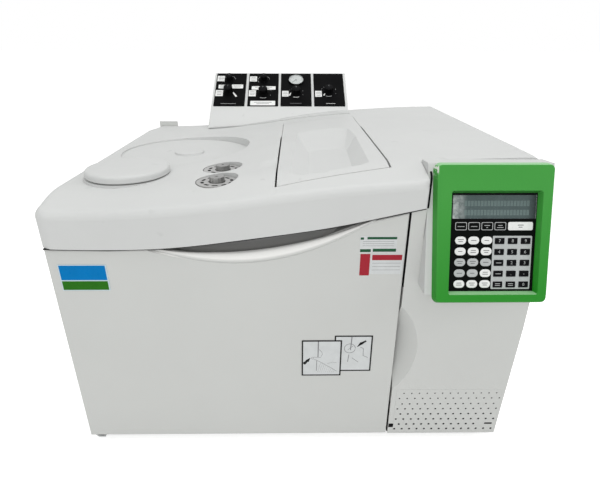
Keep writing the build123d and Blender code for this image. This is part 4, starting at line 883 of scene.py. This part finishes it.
def make_vent_plugs(surface):
    """A black sheet just inside the vent holes and their slot, painted shade of the holes, and a square
    black plug beside them.
    """
    shade_and_plug = Piece(DOOR)
    for height, start, radius, count in VENT_ROWS:
        for step in range(count):
            hole = arc(start + step * HOLE_PITCH, height, radius * 0.98, 0, 300, 5)
            shade_and_plug.plate(hole, *HOLE_SHADE_DEPTH)
    shade_and_plug.plate(block(301.6, 313.4, 19.3, 22.3), *HOLE_SHADE_DEPTH)
    shade_and_plug.plate(block(150.0, 157.4, 13.9, 21.5, 0.5), -0.1, 0.12)
    shade_and_plug.finish("vent_hole_shade_and_plug", "chassis", surface, "gasket_rubber")


def make_side_filters(surface):
    """Dark pads behind the slots of both side panels: painted shade showing through the slots."""
    for name, side, outline in (("left_slot_shade_pad", LEFT_SIDE, block(428, 602, 80, 220, 3)),
                                ("right_slot_shade_pad", RIGHT_SIDE, block(288, 552, 38, 180, 3))):
        pad = Piece(side)
        pad.plate(outline, -3.2, -2.4)
        pad.finish(name, "chassis", surface, "gasket_rubber")


def skirt_height(x):
    """Height of the skirt's lower edge above the body's, in mm."""
    for (x0, z0), (x1, z1) in zip(SKIRT, SKIRT[1:]):
        if x <= x1:
            return z0 + (z1 - z0) * (x - x0) / (x1 - x0)
    return SKIRT[-1][1]


def make_scoop_lip(surface):
    """The rolled lip of the door's finger scoop, widest where the scoop is deepest."""
    lip, rings = Piece(DOOR), []
    for station in range(LIP_STATIONS):
        x = LIP_FIRST + station * LIP_STEP
        foot = SCOOP_FOOT + SCOOP_CURVE * (x - SCOOP_MID) ** 2
        gap = skirt_height(x) - foot
        front = [(foot + LIP_SHARE * gap * rise, out * gap / DEEPEST_GAP) for rise, out in LIP_PROFILE]
        loop = front + [(z, out - 0.5) for z, out in reversed(front)]
        rings.append([lip.mesh.verts.new(DOOR.at(x, z, out)) for z, out in loop])
    lip.skin(rings)
    lip.mesh.faces.new(rings[0])
    lip.mesh.faces.new(rings[-1])
    lip.finish("scoop_lip", "oven_door", surface, "door_paint", smooth=True)


def make_cover_bead(surface):
    """A rounded bead on the cover along the foot of the gas-control housing."""
    bead = Piece(Face(spot(0, 488, 0), (0, 0, 1), (0, -1, 0)))
    for width, out in ((1.2, 2.6), (2.0, 1.6), (2.4, 0.4)):
        bead.stroke([(x, z + 0.5) for x, z in COVER_CREST], width, -2.0, out)
    bead.finish("cover_bead", "chassis", surface, "cover_moulding")


def make_screws(surface, slot_ink):
    """Pan-head screws with cross slots along the rear panel's edges."""
    heads = Piece(REAR)
    places = [(x, z) for x in (-306, -160, 20, 165, 306) for z in (14, 345)]
    places += [(x, z) for x in (-306, 306) for z in (125, 235)]
    for x, z in places:
        heads.turned(x, z, [(3.9, -0.1), (3.9, 0.6), (3.5, 1.3), (2.4, 1.7), (1.3, 1.78)], 20)
    heads.finish("rear_screws", "chassis", surface, "zinc_steel", smooth=True)
    slots = Piece(REAR)
    for x, z in places:
        slots.plate(around(x, z, 3.6, 0.6), 1.6, 1.84)
        slots.plate(around(x, z, 0.6, 3.6), 1.6, 1.83)
    slots.finish("rear_screw_slots", "chassis", slot_ink, "zinc_steel")


# ------------------------------------------------------------------ the scene
make_camera()
make_world()
make_floor()
for lamp in LAMPS:
    make_lamp(*lamp)
MATERIALS = make_materials()
dress_nodes(MATERIALS)
INKS = make_inks()
make_keys(INKS)
make_display(INKS)
make_fascia_print(INKS)
make_gauge(INKS)
make_knob_caps(INKS)
make_badge(INKS)
make_picture_plates(INKS)
make_labels(INKS)
make_skirt_seal(MATERIALS["foot_rubber"])
make_edge_seals(INKS["black"])
make_cover_end_seal(INKS["black"])
make_shield_underlays(INKS["black"])
make_vent_plugs(INKS["black"])
make_side_filters(MATERIALS["foot_rubber"])
make_scoop_lip(MATERIALS["door_paint"])
make_cover_bead(MATERIALS["cover_moulding"])
make_screws(MATERIALS["zinc_steel"], INKS["frame"])

bpy.context.scene.view_settings.view_transform = "Standard"
